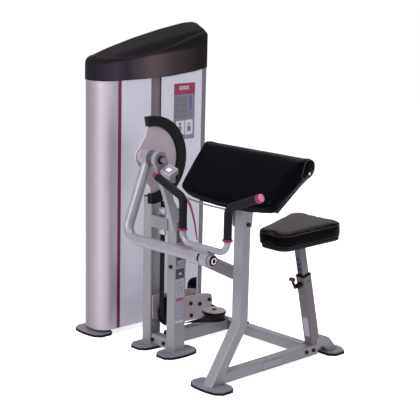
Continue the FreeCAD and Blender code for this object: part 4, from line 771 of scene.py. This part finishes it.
def relaxed(piece, turns):
    """A modifier that draws each point half way to its neighbours' middle, that many times."""
    relax = piece.modifiers.new("relax", "SMOOTH")
    relax.factor = 0.5
    relax.iterations = turns


def evaluated(piece):
    """The piece as its modifiers leave it."""
    return piece.evaluated_get(bpy.context.evaluated_depsgraph_get())


def apply_modifiers(piece):
    """Makes the finished shape the piece's own mesh."""
    piece.data = bpy.data.meshes.new_from_object(evaluated(piece))
    piece.modifiers.clear()


def blown_up(piece):
    """Where the cloth simulation, with pressure and no gravity, has moved each vertex by its last frame."""
    cloth = piece.modifiers.new("cloth", "CLOTH")
    cloth.settings.use_pressure = True
    cloth.settings.uniform_pressure_force = cloth_pressure
    cloth.settings.effector_weights.gravity = 0
    cloth.point_cache.frame_start = 1
    cloth.point_cache.frame_end = cloth_frames
    for number in range(1, cloth_frames + 1):
        bpy.context.scene.frame_set(number)
    blown = vertex_array(evaluated(piece).data.vertices, "co")
    piece.modifiers.clear()
    bpy.context.scene.frame_set(1)
    return blown


print("cloth runs for", cloth_frames, "frames")

# %% [markdown]
# ### The two cushions
# The seat may swell a millimetre more than the pad.

# %% Cushions
def cushion(name, node, body, inward, most, voxel, material):
    """The node's solid drawn in along its normals and swollen by pressure, each move held under most."""
    mesh = frame["nodes"][node].data.copy()
    merged(mesh, 1e-5)
    mesh.materials.clear()
    piece = placed(name, mesh)
    remesh = piece.modifiers.new("even", "REMESH")
    remesh.mode = "VOXEL"
    remesh.voxel_size = voxel
    relaxed(piece, 6)
    apply_modifiers(piece)
    normals = vertex_array(piece.data.vertex_normals, "vector")
    start = vertex_array(piece.data.vertices, "co") - inward * normals
    set_places(piece.data, start)
    move = blown_up(piece) - start
    move *= np.minimum(1, most / np.maximum(np.linalg.norm(move, axis=1)[:, None], 1e-9))
    set_places(piece.data, start + kept_inset * inward * normals + move)
    relaxed(piece, 12)
    finer = piece.modifiers.new("finer", "SUBSURF")
    finer.levels = finer.render_levels = 1
    apply_modifiers(piece)
    piece.data.polygons.foreach_set("use_smooth", [True] * len(piece.data.polygons))
    piece.data.materials.append(material)
    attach(piece, body)
    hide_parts(node)
    return piece


pad = cushion("arm_pad_cushion", "preacher_pad", "frame", 0.004, 0.005, 0.005, vinyl)
seat = cushion("seat_cushion", "seat_pad", "seat", 0.004, 0.006, 0.005, seat_vinyl)
print("pad", len(pad.data.polygons), "faces, seat", len(seat.data.polygons), "faces")

# %% [markdown]
# ### Sewn seams
# The vinyl is cut in panels and sewn, with a thin welt in each seam. The arm pad has one welt near each
# end, where the end panel meets the long cover, and the seat has two all round, at the top and the bottom
# of its side band. A plane cuts the finished cushion along each seam, and an even bead follows the cut, so
# it lies on the surface all the way.

# %% Welts on the cushions
def cut_lines(piece, spot, normal):
    """The closed lines in which a plane cuts a piece, longest first, each an array of points in order."""
    shell = bmesh.new()
    shell.from_mesh(piece.data)
    everything = shell.verts[:] + shell.edges[:] + shell.faces[:]
    cut = bmesh.ops.bisect_plane(shell, geom=everything, plane_co=spot, plane_no=normal)
    edges = [part for part in cut["geom_cut"] if isinstance(part, bmesh.types.BMEdge)]
    shell.verts.index_update()
    near = {}
    places = {}
    for edge in edges:
        first, second = edge.verts
        near.setdefault(first.index, []).append(second.index)
        near.setdefault(second.index, []).append(first.index)
        places[first.index], places[second.index] = tuple(first.co), tuple(second.co)
    shell.free()
    lines, used = [], set()
    for start in near:
        if start in used:
            continue
        line, now = [], start
        while now is not None:
            used.add(now)
            line.append(places[now])
            now = next((other for other in near[now] if other not in used), None)
        lines.append(np.array(line))
    return sorted(lines, key=len, reverse=True)


def welt(name, piece, spot, normal, body):
    """An even bead along the longest line in which the plane cuts the cushion, smoothed over seven points."""
    line = cut_lines(piece, spot, normal)[0]
    lap = max(len(line) // 160, 1)
    smooth = averaged(np.concatenate([line[-3:], line, line[:3]]), 7)
    return bead(name, smooth[::lap], normal, 0.0021, body, seam_thread, "black_vinyl", spacing=0.004)


pad_low, pad_high = [np.array(corner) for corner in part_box("preacher_pad")]
end_seam = 0.0085
welt("arm_pad_welt_left", pad, (pad_low[0] + end_seam, 0, 0), (1, 0, 0), "frame")
welt("arm_pad_welt_right", pad, (pad_high[0] - end_seam, 0, 0), (1, 0, 0), "frame")
for name, height in (("seat_welt", 0.667), ("seat_welt_low", 0.617)):
    welt(name, seat, (0.376, 0.15, height), (0, -0.094, 1), "seat")
lathe("arm_pad_end_bolt", [(0.0068, 0), (0.0068, 0.0012), (0.005, 0.0032), (0.002, 0.0042), (0.0003, 0.0044)],
    (pad_high[0] - 0.0012, -0.15, 0.99), (1, 0, 0), "frame", plain_steel, "plain_steel")
print("4 welts and the end bolt")

# %% [markdown]
# ### The pad's steel edge
# Under the pad's lower edge a thin painted steel pan shows as a pale line. It follows the bowed edge of the
# board.

# %% Pan edge
pan_points = np.array([(0.12, -0.329, 0.8195), (0.19, -0.334, 0.814), (0.262, -0.3365, 0.811),
    (0.33, -0.337, 0.81), (0.392, -0.337, 0.81)])
bead("pad_pan_edge", pan_points, (0, -0.7, 0.7), 0.0038, "frame", silver_paint, "frame_paint", closed=False,
    spacing=0.004, flat=1.4)
print("pan edge", round(float(pan_points[-1, 0] - pan_points[0, 0]), 3), "m")

# %% [markdown]
# ## The tower's face
# Behind the upper end of the selector slot a thin liner of grey steel shuts the opening. Its dull mid-grey
# is painted shade: it stands in for the shaded inside of the tower. Low on the right-hand panel a painted
# red blade curves down from the placard towards the slot, as a bent band that narrows.

# %% Slot liner and red blade
across, upwards = (0, 1, 0), (0, 0, 1)
# painted shade: the liner's flat mid-grey stands in for the shaded inside of the tower
thin_plate("slot_liner", (-0.508, 0.044, 1.17), across, upwards, 0.06, 0.165, 0.004, 0.0015, "frame",
    slot_shade)
blade_middle = np.array([(0.262, 0.64), (0.29, 0.6), (0.311, 0.545), (0.327, 0.489), (0.337, 0.44),
    (0.345, 0.405)])
blade_steps = 61
way = np.linspace(0, len(blade_middle) - 1, blade_steps)
middle = between(way, np.arange(len(blade_middle)), blade_middle)
middle[4:-4] = averaged(middle, 9)
ahead = np.gradient(middle, axis=0)
ahead /= np.linalg.norm(ahead, axis=1)[:, None]
sideways = np.stack([ahead[:, 1], -ahead[:, 0]], axis=1)
half = np.interp(way, [0, 1, 5], [0.0055, 0.008, 0.004])[:, None]
blade_section = ((-1, -0.4952), (-1, -0.4944), (-0.9, -0.4941), (0.9, -0.4941), (1, -0.4944), (1, -0.4952))
layers = []
for share, x in blade_section:
    edge = middle + share * half * sideways
    layers.append(np.column_stack([np.full(blade_steps, x), edge]))
starts = [layer * blade_steps for layer in range(len(blade_section))]
blade_ends = [starts, [start + blade_steps - 1 for start in starts][::-1]]
blade_faces = grid_faces(len(blade_section), blade_steps, close_rows=True) + blade_ends
mesh_piece("red_blade", np.stack(layers), blade_faces, "frame", blade_paint)
print("blade", blade_steps, "stations")

# %% [markdown]
# ## Labels on the frame
# Two printed stickers and a small red mark stand on the upright's face, one sticker lies on the seat's base
# tube, and one is on the seat post. They are thin plates, about half a millimetre thick, with printed
# faces.

# %% Labels
sticker = 0.0006
for name, centre, half_side, half_up, corner, material, slot in (
        ("upright_label_high", (-0.0556, -0.1765, 0.5415), 0.03, 0.0985, 0.003, label_print,
         "placard_print"),
        ("upright_label_low", (-0.0556, -0.182, 0.295), 0.028, 0.135, 0.003, notice_print,
         "placard_print"),
        ("upright_mark", (-0.0556, -0.201, 0.647), 0.0055, 0.0055, 0.003, *red_part),
        ("base_label", (0.4043, -0.016, 0.0435), 0.0655, 0.0175, 0.002, base_print, "placard_print")):
    thin_plate(name, centre, across, upwards, half_side, half_up, corner, sticker, "frame", material)
lean = math.radians(13.6)
post_up = np.array([0, -math.sin(lean), math.cos(lean)])
post_front = np.array([0, -math.cos(lean), -math.sin(lean)])
post_top = np.array([0.376, 0.2065, 0.421])
thin_plate("post_label", post_top - 0.262 * post_up + 0.0268 * post_front, (1, 0, 0), post_up, 0.016, 0.05,
    0.003, sticker, "frame", post_print)
print("5 labels")

# %% [markdown]
# ### Small parts beside them
# The seat post has an empty bolt hole and a rivet on its side. The floor pulley carries a wide guard disc,
# and a black cover follows the stalk of the pull pin, with room below it for the pin's travel.

# %% Post hole, rivet, guard disc and stalk cover
post_side = np.array([0.027, 0, 0])
for name, radius, rise, down in (("post_hole", 0.005, 0.0007, 0.025),
                                 ("post_rivet", 0.0026, 0.0008, 0.187)):
    profile = [(radius, 0.0), (radius - 0.0002, 0.0006), (0.0003, rise)]
    lathe(name, profile, post_top - down * post_up + post_side, (1, 0, 0), "frame", *black_part)
guard_profile = [(0.058, 0.0), (0.059, 0.001), (0.059, 0.003), (0.0575, 0.0042), (0.0003, 0.0044)]
lathe("pulley_guard_disc", guard_profile, (-0.1725, 0.166, 0.1282), (0, 0, 1), "frame", plate_grey,
    "frame_paint")
stalk_steps = np.linspace(0, 1, 5)[:, None]
stalk_line = post_top + (0.042 * stalk_steps - 0.04) * post_up + (0.0655 + 0.011 * stalk_steps) * post_front
bead("pin_stalk_cover", stalk_line, (1, 0, 0), 0.0065, "height_pin", *black_part, closed=False, spacing=0.004)
print("4 small parts")

# %% [markdown]
# ## Counter
# The counter beside the pivot is a small square box with a pale rim, a dark face, a bright display and a
# red line along its lower edge. Its pieces are thin plates stacked on the CAD housing, in the housing's own
# slope.

# %% Counter face
counter_at = np.array([-0.01, -0.303, 0.92])
counter_side, counter_up = unit((0.961, 0.052, -0.267)), unit((0.082, 0.899, 0.427))
counter_out = np.cross(counter_side, counter_up)


def on_counter(name, side, up, half_side, half_up, lift, thick, material, slot, corner=0.0015):
    """A thin plate on the counter's face, placed by its way to the side and up, and lifted by lift."""
    spot = counter_at + side * counter_side + up * counter_up + lift * counter_out
    thin_plate(name, spot, counter_side, counter_up, half_side, half_up, corner, thick, "frame", material)


on_counter("counter_face", 0.0, 0.0015, 0.0245, 0.0245, 0.0, 0.0006, window_plastic, "window_plastic", 0.004)
on_counter("counter_display", -0.002, -0.001, 0.0125, 0.011, 0.0006, 0.0005, lcd_grey, "window_plastic")
on_counter("counter_line", 0.0, -0.0215, 0.023, 0.0018, 0.0006, 0.0004, pink_and_highlight, "accent_paint", 0.001)
on_counter("counter_mark", 0.012, -0.0165, 0.0045, 0.0022, 0.0006, 0.0005, *red_part, 0.001)
print("counter face")

# %% [markdown]
# ## Grip ends
# Each grip ends in a turned red plastic cap with ridges round it and a paler domed face, whose pale pink
# is partly the face's own colour and partly painted highlight. A matching ridged ring closes each grip's
# lower end.

# %% Grip ends
ridge_pitch, ridge_low, ridge_high = 0.0036, 0.0172, 0.0186
ridges = []
for start in ridge_pitch * np.arange(5):
    ridges += [(ridge_low, start + 0.0004), (ridge_high, start + 0.0012), (ridge_high, start + 0.0026),
        (ridge_low, start + 0.0034)]
cap_profile = [(0.015, 0.0002)] + ridges + [(0.0178, 0.019), (0.0172, 0.0204)]
face_profile = [(0.0168, 0.0185), (0.0164, 0.0208), (0.014, 0.0226), (0.009, 0.0238), (0.0003, 0.0244)]
ring_profile = [(0.015, -0.007), (0.0178, -0.0068), (0.0192, -0.0052), (0.018, -0.0036), (0.0192, -0.002),
    (0.018, -0.0004), (0.0192, 0.0012), (0.018, 0.0028), (0.015, 0.003)]
handle_x, handle_y = 0.379, -0.446
for side, name in ((-1, "left"), (1, "right")):
    way = unit((side * 0.169, 0, 0.0665))
    tip = np.array([handle_x + side * 0.307, handle_y, 0.9165]) - 0.002 * way
    lathe("grip_cap_" + name, cap_profile, tip, way, "handle", *red_part)
    # the domed face's pale pink is partly painted highlight on the red cap
    lathe("grip_face_" + name, face_profile, tip, way, "handle", pink_and_highlight, "accent_paint")
    lathe("grip_ring_" + name, ring_profile, (handle_x + side * 0.138, handle_y, 0.714), (0, 0, 1), "handle",
        *red_part)
print("6 grip ends")

# %% [markdown]
# ### Lever end and pivot cover
# The lever's open tube is shut by a black plug with a bright steel ring, and the pivot by a small black
# cover. A dark ring lines the slot in the handle's collar. All are turned about the machine's x axis.

# %% Lever end, pivot cover and collar slot
lever_end, pivot_end, slot_middle = (0.4375, -0.45, 0.608), (-0.055, -0.313, 0.961), (0.374, -0.45, 0.608)
for name, centre, body, finish_and_slot, profile in (
        ("lever_plug", lever_end, "arm", black_part,
         [(0.0215, -0.002), (0.0228, 0.0005), (0.0225, 0.0035), (0.02, 0.0055), (0.0165, 0.0062),
          (0.015, 0.0058)]),
        ("lever_plug_ring", lever_end, "arm", (bright_steel, "bright_steel"),
         [(0.015, 0.004), (0.0148, 0.0066), (0.012, 0.0076), (0.0105, 0.007), (0.01, 0.0045)]),
        ("lever_plug_core", lever_end, "arm", black_part,
         [(0.0104, 0.0035), (0.0098, 0.005), (0.005, 0.0056), (0.0003, 0.0058)]),
        ("pivot_cover", pivot_end, "frame", black_part,
         [(0.02, -0.002), (0.0205, 0.003), (0.0185, 0.0075), (0.014, 0.01), (0.0105, 0.01),
          (0.0092, 0.008)]),
        ("pivot_cover_core", pivot_end, "frame", (plain_steel, "plain_steel"),
         [(0.0094, 0.007), (0.0088, 0.0086), (0.005, 0.0096), (0.0003, 0.0098)]),
        ("collar_slot_lining", slot_middle, "handle", black_part,
         [(0.0252, -0.0056), (0.029, -0.0056), (0.029, 0.0056), (0.0252, 0.0056)])):
    lathe(name, profile, centre, (1, 0, 0), body, *finish_and_slot)
print("6 turned ends")

# %% [markdown]
# ## Weld seams
# The frame is square steel tube, welded. Where one tube meets another a small rippled bead runs round the
# joint, under the same paint. Each bead follows the outline of the tube that ends there.

# %% Weld beads
along_x, along_z = ((1, 0, 0), (0, 1, 0)), ((0, 0, 1), (1, 0, 0))
welds = (
    ("weld_brace_post", (0.3474, -0.19, 0.478), along_x, 0.0205, 0.0265),
    ("weld_brace_upright", (-0.0553, -0.19, 0.527), along_x, 0.0205, 0.0265),
    ("weld_rear_tube", (0.3534, 0.2684, 0.0434), along_x, 0.0256, 0.0256),
    ("weld_post_foot", (0.376, 0.2985, 0.069), along_z, 0.0272, 0.028),
    ("weld_upright_right", (-0.0855, -0.177, 0.0182), along_z, 0.0303, 0.0363),
    ("weld_upright_left", (-0.26, -0.177, 0.0182), along_z, 0.0303, 0.0363),
)
for name, centre, (axis, side), half_side, half_other in welds:
    line = ring_line(centre, axis, side, half_side, half_other)
    bead(name, line, axis, 0.0024, "frame", silver_paint, "frame_paint", ripple=0.35)
print(len(welds), "welds")
